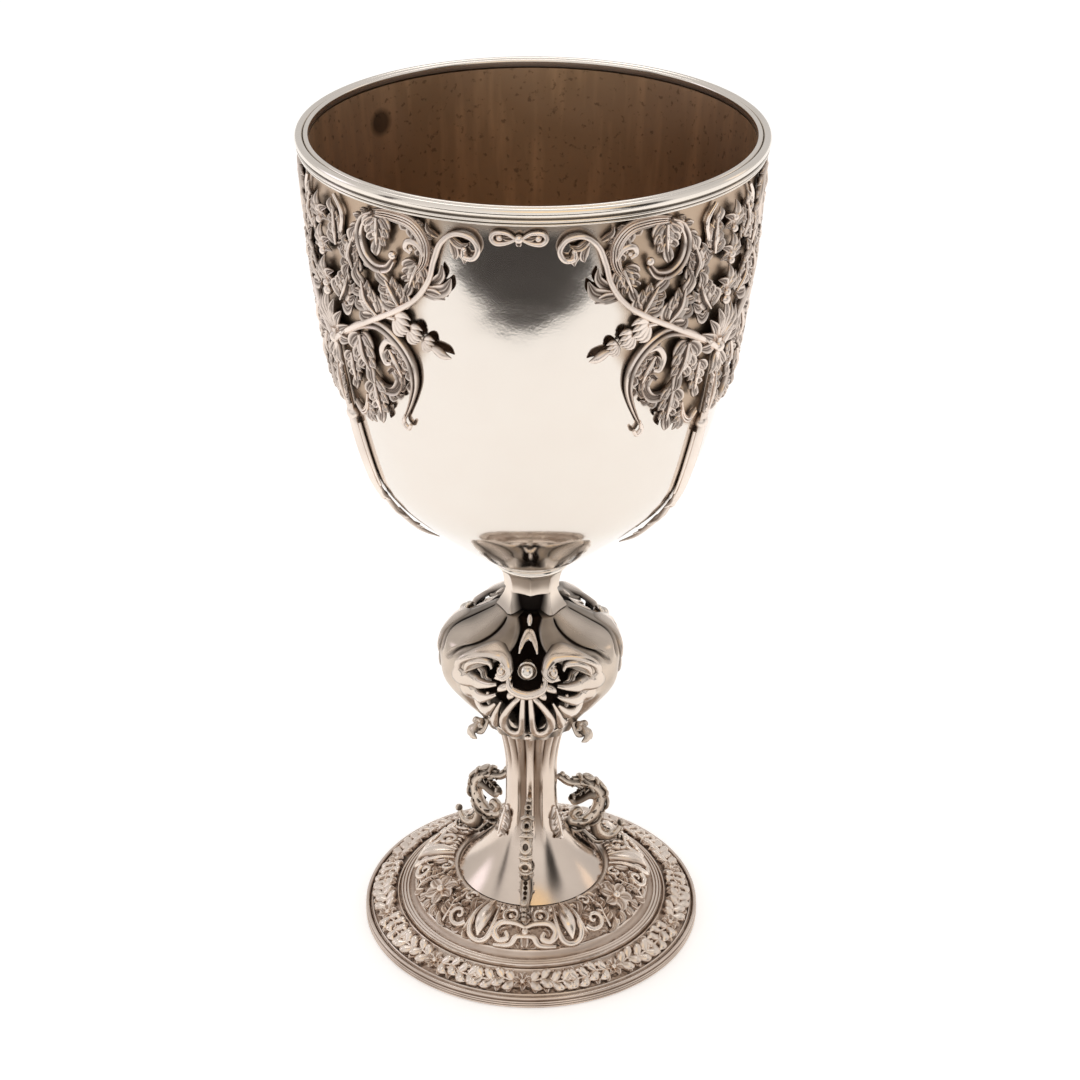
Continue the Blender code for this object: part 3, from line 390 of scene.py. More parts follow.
ring_section = arc((43.0, 2.72), (0.5, 0.48), 178, 10, 9)
ring_shade = [0.6] + [0.0] * 7 + [0.6]
for reed in range(3):
    ring_section += arc((43.16, 1.93 - 0.64 * reed), (0.4, 0.27), 78, -78, 7)
    ring_shade += [0.8, 0.3, 0.05, 0.0, 0.05, 0.3, 0.8]
ring_section += [(43.2, 0.26), (43.0, 0.0), (RING_BORE, 0.0), (RING_BORE, 1.2), (42.5, 1.2)]
ring_shade += [0.3, 0.6, 0.8, 0.9, 0.9]
dressed(moulding("base_moulding", ring_section, ring_shade, RING_SILVER), "polished_silver", "base_ring")


# Foot flange
# A broad band of sheet silver inside the moulding, chased with a running border of laurel leaves
# and small flowers between two fine threads. The leaves are worked up from a dark matted ground.
FLOWERS = 10
BORDER_RADIUS = 38.0          # where the laurel border's leaves are as long as they are drawn
BORDER_WIDTH = 6.5
PERIOD = math.tau * BORDER_RADIUS / FLOWERS
# White metal on the worked leaves over a dull brown dotted ground, which makes the chasing legible.
CHASED_SILVER = silver("chased_sterling", "F8EADD", "AA9280", 0.22, wear=0.7, worked=0.1, punched=0.8)


def both_sides(half, crest):
    """A section of (across, out, tarnish and painted shade), in shares of a half width and depth, from its
    right half.
    """
    return np.array(half + [crest] + [(-x, y, shade) for x, y, shade in reversed(half)])


# The third value darkens a section: its back, against the ground, is painted shade under the casting with
# tarnish, and its grooves and cups are darker too.
ROUND = np.array([(math.cos(a), math.sin(a), max(-math.sin(a), 0.0) * 0.8)
                  for a in np.linspace(0, math.tau, 10, endpoint=False)])
GROOVED = both_sides([(1.0, -1.0, 0.9), (1.0, 0.1, 0.4), (0.86, 0.75, 0.0), (0.62, 1.0, 0.0),
                      (0.42, 0.72, 0.2), (0.2, 0.36, 0.8)], (0.0, 0.26, 0.9))
CUPPED = both_sides([(1.0, -1.0, 0.9), (1.0, 0.35, 0.3), (0.86, 0.85, 0.0), (0.66, 0.6, 0.2),
                     (0.32, 0.05, 0.8), (0.12, 0.1, 0.7)], (0.0, 0.45, 0.1))
DOMED = both_sides([(1.0, -1.0, 0.9), (0.97, 0.1, 0.5), (0.8, 0.6, 0.2), (0.45, 0.92, 0.0)], (0.0, 1.0, 0.0))


def toward(angle):
    """A step of 1 in the direction of an angle."""
    return np.array((math.cos(angle), math.sin(angle)))


def left_of(along):
    """A direction turned a quarter to the left."""
    return np.array((-along[1], along[0]))


def tube_faces(rows, around):
    """The faces between rows of points, each of them closed round."""
    faces = []
    for i in range(rows - 1):
        for k in range(around):
            after = (k + 1) % around
            faces.append((i * around + k, i * around + after, (i + 1) * around + after, (i + 1) * around + k))
    return faces


def swept(points, widths, depths, section=ROUND, grain=0.55, upright=False):
    """A casting whose section follows a path of (across, out, up); widths and depths are half sizes.

    Its section faces outwards, or lies across the path where the path is upright in a radial plane.
    """
    rough = smooth(points, 30)
    length = np.linalg.norm(np.diff(rough, axis=0), axis=1).sum()
    count = max(6, int(length / grain) + 2)
    path = smooth(points, count)
    along = np.gradient(path, axis=0)
    along /= np.linalg.norm(along, axis=1)[:, None]
    side = np.broadcast_to((1.0, 0.0, 0.0), path.shape) if upright else np.cross(along, (0.0, 1.0, 0.0))
    side = side / np.maximum(np.linalg.norm(side, axis=1), 0.000001)[:, None]
    rise = np.cross(side, along)
    width = smooth(widths, count)
    depth = smooth(depths, count)
    body = (path[:, None] + side[:, None] * (width * section[None, :, 0])[..., None]
            + rise[:, None] * (depth * section[None, :, 1])[..., None])
    around = len(section)
    vertices = np.vstack((body.reshape(-1, 3), path[0], path[-1]))
    tarnish_and_shade = np.concatenate((np.tile(section[:, 2], count), (0.3, 0.3)))
    start, end = count * around, count * around + 1
    faces = tube_faces(count, around)
    for k in range(around):
        after = (k + 1) % around
        faces.append((start, after, k))
        faces.append((end, start - around + k, start - around + after))
    return vertices, faces, tarnish_and_shade


def petal(root, tip, width, bend, base, lift, curl=0.4, section=CUPPED, depth=0.45):
    """A tapered leaf from root to tip, both (across, up), that rises off the ground and curls at its tip."""
    root, tip = np.asarray(root, float), np.asarray(tip, float)
    along = tip - root
    side = left_of(along) * bend
    stations = [root, root + 0.33 * along + 0.8 * side, root + 0.7 * along + side, tip]
    outs = (base, 0.5 * (base + lift), lift, lift - curl)
    path = [(x, out, z) for (x, z), out in zip(stations, outs)]
    half = 0.5 * width
    return swept(path, (0.45 * half, 0.9 * half, half, 0.7 * half, 0.12 * half),
                 (depth, depth, 0.9 * depth, 0.6 * depth, 0.2 * depth), section)


def bead(across, up, radius, out, squash=1.0):
    """A round bead that stands on the ground."""
    rings = 6
    around = 10
    points, shade = [], []
    for i in range(rings + 1):
        angle = math.pi * i / rings
        for k in range(around):
            turn = math.tau * k / around
            points.append((across + radius * math.sin(angle) * math.cos(turn),
                           out + radius * squash * math.cos(angle),
                           up + radius * math.sin(angle) * math.sin(turn)))
            # The lower half, towards the ground, is painted dark: painted shade under the bead, with tarnish.
            shade.append(0.0 if i < 4 else 0.8)
    return np.array(points), tube_faces(rings + 1, around), np.array(shade)


def mirrored(part):
    """The other half of a pair, left for right."""
    points, faces, shade = part
    return points * (-1.0, 1.0, 1.0), [face[::-1] for face in faces], shade


def joined(parts):
    """Many parts in one list of points, faces and tarnish with painted shade."""
    points, part_faces, shades = zip(*parts)
    faces = []
    first = 0
    for i, some_faces in enumerate(part_faces):
        faces += [tuple(corner + first for corner in face) for face in some_faces]
        first += len(points[i])
    return np.vstack(points), faces, np.concatenate(shades)


def laid_on(parts, places, radii, heights, reference, standoff=0.0):
    """Parts bent on to a turned surface, whose profile runs upwards through (radius, height).

    across is measured round the axis at the reference radius, or straight where that is None, and
    up along places.
    """
    points, faces, shade = joined(parts)
    slope_r, slope_z = np.gradient(radii, places), np.gradient(heights, places)
    length = np.hypot(slope_r, slope_z)
    along = points[:, 2]
    stand = points[:, 1] + standoff
    radius = np.interp(along, places, radii) + stand * np.interp(along, places, slope_z / length)
    height = np.interp(along, places, heights) - stand * np.interp(along, places, slope_r / length)
    if reference is None:
        return np.column_stack((points[:, 0], -radius, height)), faces, shade
    azimuth = points[:, 0] / reference
    placed = np.column_stack((radius * np.sin(azimuth), -radius * np.cos(azimuth), height))
    return placed, faces, shade


ROUND_THE_AXIS, given = tree_with("castings_round_the_axis",
                                  (("Casting", "NodeSocketGeometry"), ("Count", "NodeSocketInt"),
                                   ("Metal", "NodeSocketMaterial")))
spots = add(ROUND_THE_AXIS, "GeometryNodePoints", {"Count": given["Count"]})
number = add(ROUND_THE_AXIS, "GeometryNodeInputIndex").outputs["Index"]
step = add(ROUND_THE_AXIS, "ShaderNodeMath", {0: math.tau, 1: given["Count"]}, operation="DIVIDE").outputs[0]
turn = add(ROUND_THE_AXIS, "ShaderNodeMath", {0: number, 1: step}, operation="MULTIPLY").outputs[0]
facing = add(ROUND_THE_AXIS, "ShaderNodeCombineXYZ", {"Z": turn})
copies = add(ROUND_THE_AXIS, "GeometryNodeInstanceOnPoints",
             {"Points": spots.outputs["Points"], "Instance": given["Casting"],
              "Rotation": facing.outputs["Vector"]})
solid = add(ROUND_THE_AXIS, "GeometryNodeRealizeInstances", {"Geometry": copies.outputs["Instances"]})
plated = add(ROUND_THE_AXIS, "GeometryNodeSetMaterial", {"Geometry": solid.outputs["Geometry"],
                                                         "Material": given["Metal"]})
add(ROUND_THE_AXIS, "NodeGroupOutput", {"Geometry": plated.outputs["Geometry"]})


def round_the_axis(name, casting, count, material):
    """Copies of a casting, made at the front, evenly round the axis."""
    points, faces, shade = casting
    source = plain_object(name, (points * MM).tolist(), [], faces, shade)
    return evaluated(name, source, ROUND_THE_AXIS, {"Count": count}, material)


def as_one(name, *things):
    """Objects of one piece in one mesh."""
    with bpy.context.temp_override(active_object=things[0], selected_editable_objects=list(things)):
        bpy.ops.object.join()
    things[0].name = name
    return things[0]


flange_outline = [(32.2, 4.7), (34.6, 4.7), (34.7, 5.4), (34.85, 5.72), (35.05, 5.78), (35.25, 5.6),
                  (35.4, 5.3), (38.4, 4.4), (41.35, 2.85), (41.45, 3.05), (41.65, 3.15), (41.85, 3.05),
                  (42.0, 2.75), (42.2, 2.65), (42.2, 1.5), (38.4, 3.45), (32.2, 3.5)]
flange_shade = [0.8, 0.8, 0.2, 0.0, 0.0, 0.3, 0.6, 0.6, 0.8, 0.3, 0.0, 0.3, 0.9, 0.6, 0.8, 0.8, 0.8]
flange_sheet = turned("flange_sheet", flange_outline, flange_shade, CHASED_SILVER, 240)
band_radii = np.linspace(41.4, 35.4, 12)
band_heights = np.interp(band_radii, (35.4, 38.4, 41.4), (5.3, 4.4, 2.85))
band_places = np.linspace(0.0, BORDER_WIDTH, 12)


def laurel_run():
    """One period of the border: a flower, and lobed leaves that run from it to the next on both sides."""
    middle = 0.5 * BORDER_WIDTH
    parts = [bead(0.0, middle, 0.75, 0.5, 0.9)]
    petals = 7
    for k in range(petals):
        aim = toward(math.tau * (k + 0.25) / petals)
        start = np.array((0.0, middle)) + 0.5 * aim
        parts.append(petal(start, start + 2.0 * aim, 1.6, 0.08, 0.0, 1.1, 0.4, CUPPED, 0.4))
    side = []
    vine = [(2.0, 0.3, middle)]
    leaves = 4
    for k in range(leaves):
        across = 2.3 + (0.5 * PERIOD - 3.9) * k / (leaves - 1)
        sway = 0.6 * math.sin(1.9 * k)
        vine.append((across, 0.4, middle + sway))
        for lean in (1, -1):
            root, tip = (across, middle + sway), (across + 2.7, middle + sway + 2.0 * lean)
            side.append(petal(root, tip, 2.3, 0.2 * lean, 0.2, 1.3, 0.6, DOMED, 0.6))
            root, tip = (across + 1.1, middle + 1.5 * lean), (across + 1.0, middle + 3.1 * lean)
            side.append(petal(root, tip, 1.6, 0.15 * lean, 0.1, 1.1, 0.5, CUPPED, 0.5))
            side.append(bead(across + 2.3, middle + 0.5 * lean, 0.45, 0.6))
    vine.append((0.5 * PERIOD - 0.4, 0.3, middle))
    side.append(swept(vine, (0.35, 0.35), (0.45, 0.45)))
    parts.append(bead(0.5 * PERIOD, middle, 0.7, 0.5, 0.9))
    for lean in (1, -1):
        root, tip = (0.5 * PERIOD, middle + 0.5 * lean), (0.5 * PERIOD, middle + 2.9 * lean)
        parts.append(petal(root, tip, 1.7, 0.0, 0.1, 0.9))
    return parts + side + [mirrored(part) for part in side]


laurel = laid_on(laurel_run(), band_places, band_radii, band_heights, BORDER_RADIUS, -0.1)
flange_border = round_the_axis("flange_border", laurel, FLOWERS, CHASED_SILVER)
dressed(as_one("chased_flange", flange_sheet, flange_border), "chased_silver", "foot_flange")


# Foot dome
# The raised middle of the foot, one sheet with the plain reeded step at its edge. Its ring is chased
# in three like parts: strapwork at the front, a tongue on either side, then flowers in leaves.
CHASING_RADIUS = 26.0         # where the dome's chased ring is as long as it is drawn
dome_edge = [(34.2, 5.2), (34.2, 6.2), (34.0, 6.45), (33.75, 6.45), (33.6, 6.2), (33.45, 6.4), (33.2, 6.62),
             (32.95, 6.6), (32.8, 6.3), (32.65, 6.45), (32.4, 6.65), (32.15, 6.6), (32.0, 6.3), (31.4, 6.32),
             (30.9, 6.6), (30.6, 7.1), (30.5, 7.6), (30.35, 7.95), (30.05, 8.05), (29.9, 7.85)]
dome_swell = arc((21.3, 7.6), (8.6, 5.85), 4, 90, 26)
dome_lip = [(20.3, 13.35), (19.7, 13.5), (19.3, 13.5), (19.0, 13.35), (18.9, 13.1), (16.8, 13.1),
            (16.8, 11.9), (21.3, 11.9)]
dome_under = arc((21.3, 6.6), (7.7, 5.2), 80, 10, 6) + [(31.2, 5.1), (34.2, 5.0)]
dome_outline = dome_edge + dome_swell + dome_lip + dome_under
dome_shade = ([0.5, 0.1, 0.0, 0.2, 0.9, 0.4, 0.0, 0.2, 0.9, 0.4, 0.0, 0.2, 0.8, 0.55, 0.5, 0.5, 0.4, 0.0,
               0.1, 0.7] + [0.72] * 26 + [0.8, 0.3, 0.1, 0.4, 0.9, 0.5, 0.7, 0.7] + [0.8] * 8)
dome_sheet = turned("dome_sheet", dome_outline, dome_shade, CHASED_SILVER, 240)
swell = np.array(arc((21.3, 7.6), (8.6, 5.85), 4, 90, 60) + [(19.3, 13.45)])
swell_places = np.concatenate(((0.0,), np.cumsum(np.hypot(*np.diff(swell, axis=0).T))))


def spiral(centre, radius, start, turns, out):
    """Points that wind in from radius round a centre, with the start in degrees."""
    points = []
    inner = 0.15
    count = 14
    for i in range(count):
        share = i / (count - 1)
        angle = math.radians(start) + math.tau * turns * share
        reach = radius * (1 - share) + inner * share
        points.append((centre[0] + reach * math.cos(angle), out, centre[1] + reach * math.sin(angle)))
    return points


def ring_of(centre, radius, bulk, out):
    """A ring laid flat on the ground."""
    points = []
    for i in range(17):
        angle = math.tau * i / 16
        points.append((centre[0] + radius * math.cos(angle), out, centre[1] + radius * math.sin(angle)))
    return swept(points, (bulk, bulk), (bulk, bulk))


def blossom(centre, reach, petals, out):
    """A small open flower with a bead in its middle."""
    parts = [bead(centre[0], centre[1], 0.28 * reach, out + 0.45)]
    for k in range(petals):
        aim = toward(math.tau * k / petals)
        start = np.array(centre) + 0.2 * reach * aim
        parts.append(petal(start, start + 0.85 * reach * aim, 0.75 * reach, 0.1, out, out + 0.75, 0.3))
    return parts


def unit(step):
    """The direction of a step, as a step of 1."""
    return step / max(np.hypot(*step), 0.001)


def sprig(points, pairs, size, out):
    """A chased stalk with leaves in pairs, that grow smaller to its tip."""
    path = smooth(points, pairs + 2)
    parts = [swept([(x, out + 0.25, z) for x, z in path], (0.3, 0.22), (0.35, 0.3))]
    for k in range(1, pairs + 1):
        along = unit(path[k + 1] - path[k - 1])
        reach = size * (1.0 - 0.45 * k / (pairs + 1))
        for lean in (1, -1):
            tip = path[k] + reach * (0.62 * along + 0.78 * lean * left_of(along))
            parts.append(petal(path[k], tip, 0.62 * reach, 0.18 * lean, out, out + 0.8, 0.45))
    end = unit(path[-1] - path[-2])
    parts.append(petal(path[-1], path[-1] + 0.75 * size * end, 0.55 * size, 0.05, out, out + 0.7))
    return parts


def leafy_ground():
    """Rows of small lobes that fill the ground of a third between the larger forms."""
    parts = []
    lobes = 22
    for row, up in enumerate((1.3, 3.5, 5.7, 7.9, 10.0)):
        for k in range(lobes):
            across = 2.55 * (k - 0.5 * (lobes - 1)) + 0.9 * math.sin(3.1 * k + 1.7 * row)
            aim = toward(2.4 * k + 1.3 * row)
            middle = np.array((across, up + 0.5 * math.sin(2.3 * k)))
            parts.append(petal(middle - 0.9 * aim, middle + 1.1 * aim, 1.35, 0.3 * (-1) ** k, 0.0, 0.6, 0.35))
    return parts


def dome_third():
    """A third of the chased ring, from one flower panel to the next, about its strapwork."""
    tongue = 10.6
    half = [
        petal((tongue, 11.8), (tongue, 1.9), 3.6, 0.0, 0.4, 1.9, 0.6, DOMED, 0.9),
        swept([(tongue - 2.3, 0.2, 11.9), (tongue - 2.9, 0.9, 6.0), (tongue - 2.1, 0.9, 1.9),
               (tongue, 0.9, 0.7), (tongue + 2.1, 0.9, 1.9), (tongue + 2.9, 0.9, 6.0),
               (tongue + 2.3, 0.2, 11.9)], (0.5, 0.75, 0.75, 0.5), (0.6, 0.8, 0.8, 0.6)),
        ring_of((4.0, 8.4), 1.9, 0.6, 0.8), bead(4.0, 8.4, 0.9, 0.4, 0.8),
        swept([(0.0, 0.8, 5.2), (2.4, 0.9, 6.2), (5.8, 0.9, 6.0), (7.2, 0.9, 3.8), (5.8, 0.9, 1.9),
               (3.9, 0.9, 2.6), (4.5, 0.9, 4.0)], (0.5, 0.8, 0.8, 0.5), (0.6, 0.8, 0.6)),
        swept([(0.0, 0.8, 3.2), (2.0, 0.9, 3.0), (3.2, 0.9, 1.2), (6.8, 0.7, 0.6)], (0.5, 0.75, 0.5),
              (0.6, 0.7, 0.5)),
        bead(7.4, 10.6, 0.8, 0.3), petal((6.9, 7.6), (6.6, 11.4), 1.4, 0.2, 0.2, 1.0),
        swept(spiral((17.2, 4.6), 2.7, 200, 1.25, 0.9), (0.65, 0.4), (0.75, 0.5)),
        swept(spiral((18.4, 10.2), 2.0, 160, -1.2, 0.8), (0.55, 0.35), (0.7, 0.45)),
        petal((14.6, 1.6), (14.5, 6.6), 1.7, 0.25, 0.3, 1.4),
        petal((14.4, 7.0), (15.2, 11.4), 1.7, -0.25, 0.3, 1.1),
        petal((22.6, 2.6), (19.8, 0.6), 1.6, 0.2, 0.3, 1.2),
        petal((22.4, 9.8), (20.4, 11.8), 1.6, -0.2, 0.3, 0.9),
    ]
    for k in range(4):
        half.append(petal((1.4 + 1.9 * k, 10.0), (2.0 + 1.8 * k, 12.0), 1.5, 0.1, 0.2, 0.8, 0.3, DOMED, 0.5))
    half += sprig([(20.6, 1.4), (20.4, 4.4), (21.2, 7.0), (20.6, 9.4)], 4, 2.4, 0.4)
    whole = leafy_ground() + half + [mirrored(part) for part in half]
    whole += [petal((0.0, 8.6), (0.0, 5.9), 2.6, 0.0, 0.4, 1.4, 0.4), bead(0.0, 4.3, 0.9, 0.8),
              petal((0.0, 3.2), (0.0, 0.6), 2.0, 0.0, 0.4, 1.3, 0.4)]
    panel = 0.5 * math.tau * CHASING_RADIUS / 3
    whole += blossom((panel, 6.6), 4.0, 6, 0.6)
    whole += blossom((panel, 10.6), 1.7, 5, 0.3)
    whole += [petal((panel, 2.6), (panel, 0.4), 2.2, 0.0, 0.3, 1.2),
              petal((panel - 2.4, 3.0), (panel - 3.6, 0.9), 1.9, 0.2, 0.3, 1.2),
              petal((panel + 2.4, 3.0), (panel + 3.6, 0.9), 1.9, -0.2, 0.3, 1.2)]
    return whole


dome_chasing = laid_on(dome_third(), swell_places, swell[:, 0], swell[:, 1], CHASING_RADIUS, -0.05)
dome_relief = round_the_axis("dome_relief", dome_chasing, 3, CHASED_SILVER)
dressed(as_one("chased_dome", dome_sheet, dome_relief), "chased_silver", "foot_dome")


# Stem
# A trumpet of sheet silver, burnished bright where it spreads on to the foot. A hollow channel is sunk
# on either side of each bracket. Above them it is drawn into soft flutes; flutes and channels hold
# tarnish and painted shade.
STEM_BASE = 13.4
STEM_TOP = 58.2
STEM_WAIST = 6.6              # its smallest radius
FLARE_TOP = 36.4              # where it starts to widen downwards
RISE_BASE = 44.2              # where it starts to widen upwards
# Bright enough to mirror the foot, with dark brown flutes of tarnish and painted shade, which makes
# the waist look deep and shadowed.
STEM_SILVER = silver("fluted_sterling", "E3D3C5", "6B5038", 0.15, wear=0.35, worked=0.3)


def through(stations, places):
    """A smooth curve through stations, pairs of (place, value), read at many places."""
    stations = np.asarray(stations, float)
    x, y = stations.T
    slopes = np.gradient(y, x)
    slopes[1:-1] = (y[2:] - y[:-2]) / (x[2:] - x[:-2])
    slopes[0] = (y[1] - y[0]) / (x[1] - x[0])
    slopes[-1] = (y[-1] - y[-2]) / (x[-1] - x[-2])
    place = np.clip(places, x[0], x[-1])
    i = np.clip(np.searchsorted(x, place) - 1, 0, len(x) - 2)
    span = x[i + 1] - x[i]
    t = (place - x[i]) / span
    return (y[i] * (2 * t**3 - 3 * t**2 + 1) + slopes[i] * span * (t**3 - 2 * t**2 + t)
            + y[i + 1] * (3 * t**2 - 2 * t**3) + slopes[i + 1] * span * (t**3 - t**2))


def stepped(value, start, end):
    """0 before start and 1 after end, with a soft change between; start may be the larger."""
    t = np.clip((value - start) / (end - start), 0.0, 1.0)
    return t * t * (3 - 2 * t)


def stem_radius(height):
    """The stem's plain radius: a waist that flares to the foot and, less, to the knop."""
    flare = np.clip((FLARE_TOP - height) / (FLARE_TOP - STEM_BASE), 0.0, 1.0)
    rise = np.clip((height - RISE_BASE) / (STEM_TOP - RISE_BASE), 0.0, 1.0)
    return STEM_WAIST + 12.1 * flare**2.2 + 2.4 * rise**2


def off_middle(azimuths):
    """How many degrees azimuths lie from the nearest of 0, 120 and 240 degrees."""
    third = math.tau / 3
    return np.degrees(np.abs((azimuths + 0.5 * third) % third - 0.5 * third))


def grid_piece(name, radii, heights, azimuths, material, tarnish_and_shade, slot, node):
    """A piece whose skin's radius is given by rows of height and columns of azimuth."""
    points = np.stack((radii * np.sin(azimuths)[None], -radii * np.cos(azimuths)[None],
                       np.broadcast_to(heights[:, None], radii.shape)), axis=2).reshape(-1, 3)
    thing = object_from(name, points, tube_faces(*radii.shape), material, tarnish_and_shade.reshape(-1))
    dressed(thing, slot, node)


def fluted_stem():
    """The stem's skin, from its foot under the dome's lip to the bore for the rod at its top."""
    levels = np.concatenate((np.linspace(STEM_BASE, 24.0, 40), np.linspace(24.5, STEM_TOP, 90)))
    azimuths = np.linspace(0, math.tau, 288, endpoint=False)
    plain = stem_radius(levels)[:, None]
    folded = stepped(levels, 43.0, 51.0)[:, None]
    sided = (stepped(levels, 24.0, 33.0) * stepped(levels, 55.0, 44.0))[:, None]
    off_bracket = off_middle(azimuths)[None, :]
    channel = stepped(off_bracket, 31.0, 22.0) * stepped(off_bracket, 6.0, 13.0)
    rib = stepped(off_bracket, 11.0, 5.0)
    wave = np.abs(np.cos(9.0 * azimuths))[None, :]
    radii = plain + folded * (0.75 * wave**0.7 - 0.65) - sided * (0.75 * channel - 0.25 * rib)
    # Flutes and channels are painted darker: tarnish with painted shade.
    tarnish_and_shade = np.clip(folded * (0.85 - 0.75 * wave) + 0.75 * sided * channel, 0.0, 1.0)
    inner = np.array([[8.0], [10.0], [16.8]]).repeat(len(azimuths), 1)
    radii = np.vstack((inner, radii, np.full((1, len(azimuths)), 2.8)))
    heights = np.concatenate(((STEM_BASE + 2.0, STEM_BASE + 1.0, STEM_BASE), levels, (STEM_TOP,)))
    shade = np.vstack((0 * inner + 0.7, tarnish_and_shade, np.full((1, len(azimuths)), 0.8)))
    grid_piece("stem", radii, heights, azimuths, STEM_SILVER, shade, "polished_silver", "stem_trumpet")


fluted_stem()


# Stem brackets
# Three cast C-scrolls, soldered by the head and the toe. Leaves lap over each one's back, rungs cross
# it like graded beads, and a smooth cupped leaf with a knob is its foot.
BRACKET_STRAYS = (-1.0, -4.0, -8.0)     # degrees by which each bracket was set aside of its third
# Darker and wholly tarnished in its hollows, which sets the brackets off against the bright trumpet.
BRACKET_SILVER = silver("bracket_sterling", "D9CABB", "35281E", 0.22, wear=1.0, worked=0.1)
scroll_line = [(10.6, 24.6), (11.6, 23.4), (14.8, 22.6), (18.0, 24.5), (19.4, 28.2), (18.3, 31.9),
               (14.9, 34.7), (10.7, 35.9), (7.5, 38.6)]


def stood(parts):
    """Parts drawn as (across, distance from the axis, height), set up at the front."""
    points, faces, shade = joined(parts)
    return points * (1.0, -1.0, 1.0), [face[::-1] for face in faces], shade


def measured(stations, count=80):
    """A profile through (radius, height), with the length along it up to each of its points."""
    path = smooth(stations, count)
    return np.concatenate(((0.0,), np.cumsum(np.hypot(*np.diff(path, axis=0).T)))), path[:, 0], path[:, 1]


def in_threes(name, casting, start, material, slot, node, strays=(0.0, 0.0, 0.0)):
    """Three copies of a casting at a third of a turn, give or take its stray, each for its own CAD node."""
    for i in range(3):
        turn = math.radians(start + 120 * i + strays[i])
        thing = object_from(f"{name}_{i + 1}", *casting[:2], material, casting[2], turn)
        dressed(thing, slot, f"{node}_{i + 1}")


def upright_bar(line, widths, depths, section=ROUND, grain=0.4):
    """A bar that follows a line of (radius, height) in the radial plane at the front."""
    return swept([(0.0, r, z) for r, z in line], widths, depths, section, grain, upright=True)


def bracket_casting():
    """A bracket: the scroll and what laps over it, the hook inside it, the curl and the foot."""
    scroll_back = measured(scroll_line)
    length = scroll_back[0][-1]
    parts = [stood([upright_bar(scroll_line, (0.8, 1.2, 1.45, 1.5, 1.4, 1.1, 0.8),
                                (0.9, 1.4, 1.7, 1.8, 1.6, 1.2, 0.8), ROUND, 0.45)])]
    over = []
    for k in range(5):
        at = 3.0 + 4.4 * k
        over.append(ring_of((0.0, at), 1.35 - 0.08 * k, 0.5, 1.9))
        rung = [(-1.5, 1.2, at + 2.2), (0.0, 2.1, at + 2.3), (1.5, 1.2, at + 2.2)]
        over.append(swept(rung, (0.4, 0.6, 0.4), (0.5, 0.6, 0.5)))
        for side in (1, -1):
            root, tip = (1.0 * side, at - 0.6), (1.7 * side, at + 2.6)
            over.append(petal(root, tip, 1.7, 0.3 * side, 0.2, 1.2, 0.7, DOMED, 0.6))
            root, tip = (1.2 * side, at + 1.2), (1.6 * side, at + 4.6)
            over.append(petal(root, tip, 1.7, 0.3 * side, -1.0, -0.2))
    over.append(swept([(0.0, 1.0, length - 9.6), (0.0, 1.2, length - 4.6)], (0.75, 0.6), (0.6, 0.5), CUPPED))
    over += [ring_of((0.0, length - 2.6), 0.75, 0.34, 1.0), bead(0.0, length - 0.6, 0.75, 1.0)]
    parts.append(laid_on(over, *scroll_back, None))
    hook = [(18.4, 30.2), (16.2, 31.0), (13.6, 30.3), (12.0, 30.0), (11.2, 31.0)]
    parts.append(stood([upright_bar(hook, (1.1, 1.4, 1.4, 0.9), (1.5, 1.3, 1.2, 0.8), GROOVED),
                        bead(0.0, 30.9, 1.1, 11.7)]))
    hook_back = measured([(18.0, 32.0), (15.6, 32.4), (13.0, 31.2), (11.0, 30.9)])
    parts.append(laid_on(sprig([(0.0, 0.6), (0.0, 5.8)], 2, 2.1, -0.2), *hook_back, None))
    curl = [(12.6, 24.4), (11.6, 26.0), (13.0, 27.0), (13.9, 25.8), (12.9, 25.2)]
    parts.append(stood([upright_bar(curl, (1.1, 1.2, 1.0, 0.6), (0.9, 0.9, 0.7, 0.5))]))
    slipper = [(18.6, 24.6), (18.2, 21.4), (18.9, 18.2), (21.0, 16.4), (23.2, 16.3), (24.8, 17.5),
               (25.5, 19.4)]
    parts.append(stood([upright_bar(slipper, (1.1, 1.2, 1.3, 1.2, 1.1, 0.9, 0.5),
                                    (1.3, 1.5, 1.6, 1.5, 1.2, 0.8, 0.4)),
                        bead(0.0, 19.2, 1.0, 25.7), bead(0.0, 17.3, 0.7, 25.6)]))
    slipper_back = measured([(20.3, 24.4), (19.9, 21.6), (20.4, 19.8), (21.9, 18.4), (23.4, 18.2),
                             (24.6, 18.9)])
    chain = [ring_of((0.0, 1.4), 0.95, 0.4, 0.3)]
    chain += [bead(0.0, 3.3 + 1.25 * k, 0.66 - 0.05 * k, 0.3) for k in range(4)]
    parts.append(laid_on(chain, *slipper_back, None))
    parts.append(stood([bead(0.0, 15.6 - 0.55 * k, 0.8 - 0.05 * k, 23.9 + 1.15 * k, 0.8) for k in range(3)]))
    flank = measured([(20.3, 14.5), (17.8, 15.3), (15.6, 17.0), (12.9, 20.1), (11.4, 22.2)])
    toe = [petal((0.0, 0.4), (0.0, 10.6), 3.4, 0.0, 0.4, 1.2, 0.3)]
    for k in range(4):
        for side in (1, -1):
            root, tip = (0.3 * side, 0.8 + 2.0 * k), (side * (2.2 - 0.2 * k), 4.4 + 2.1 * k)
            toe.append(petal(root, tip, 1.7, 0.2 * side, 0.2, 0.8, 0.4, DOMED))
    parts.append(laid_on(toe, *flank, None))
    return joined(parts)


in_threes("stem_bracket", bracket_casting(), 0.0, BRACKET_SILVER, "cast_silver", "stem_bracket",
          BRACKET_STRAYS)


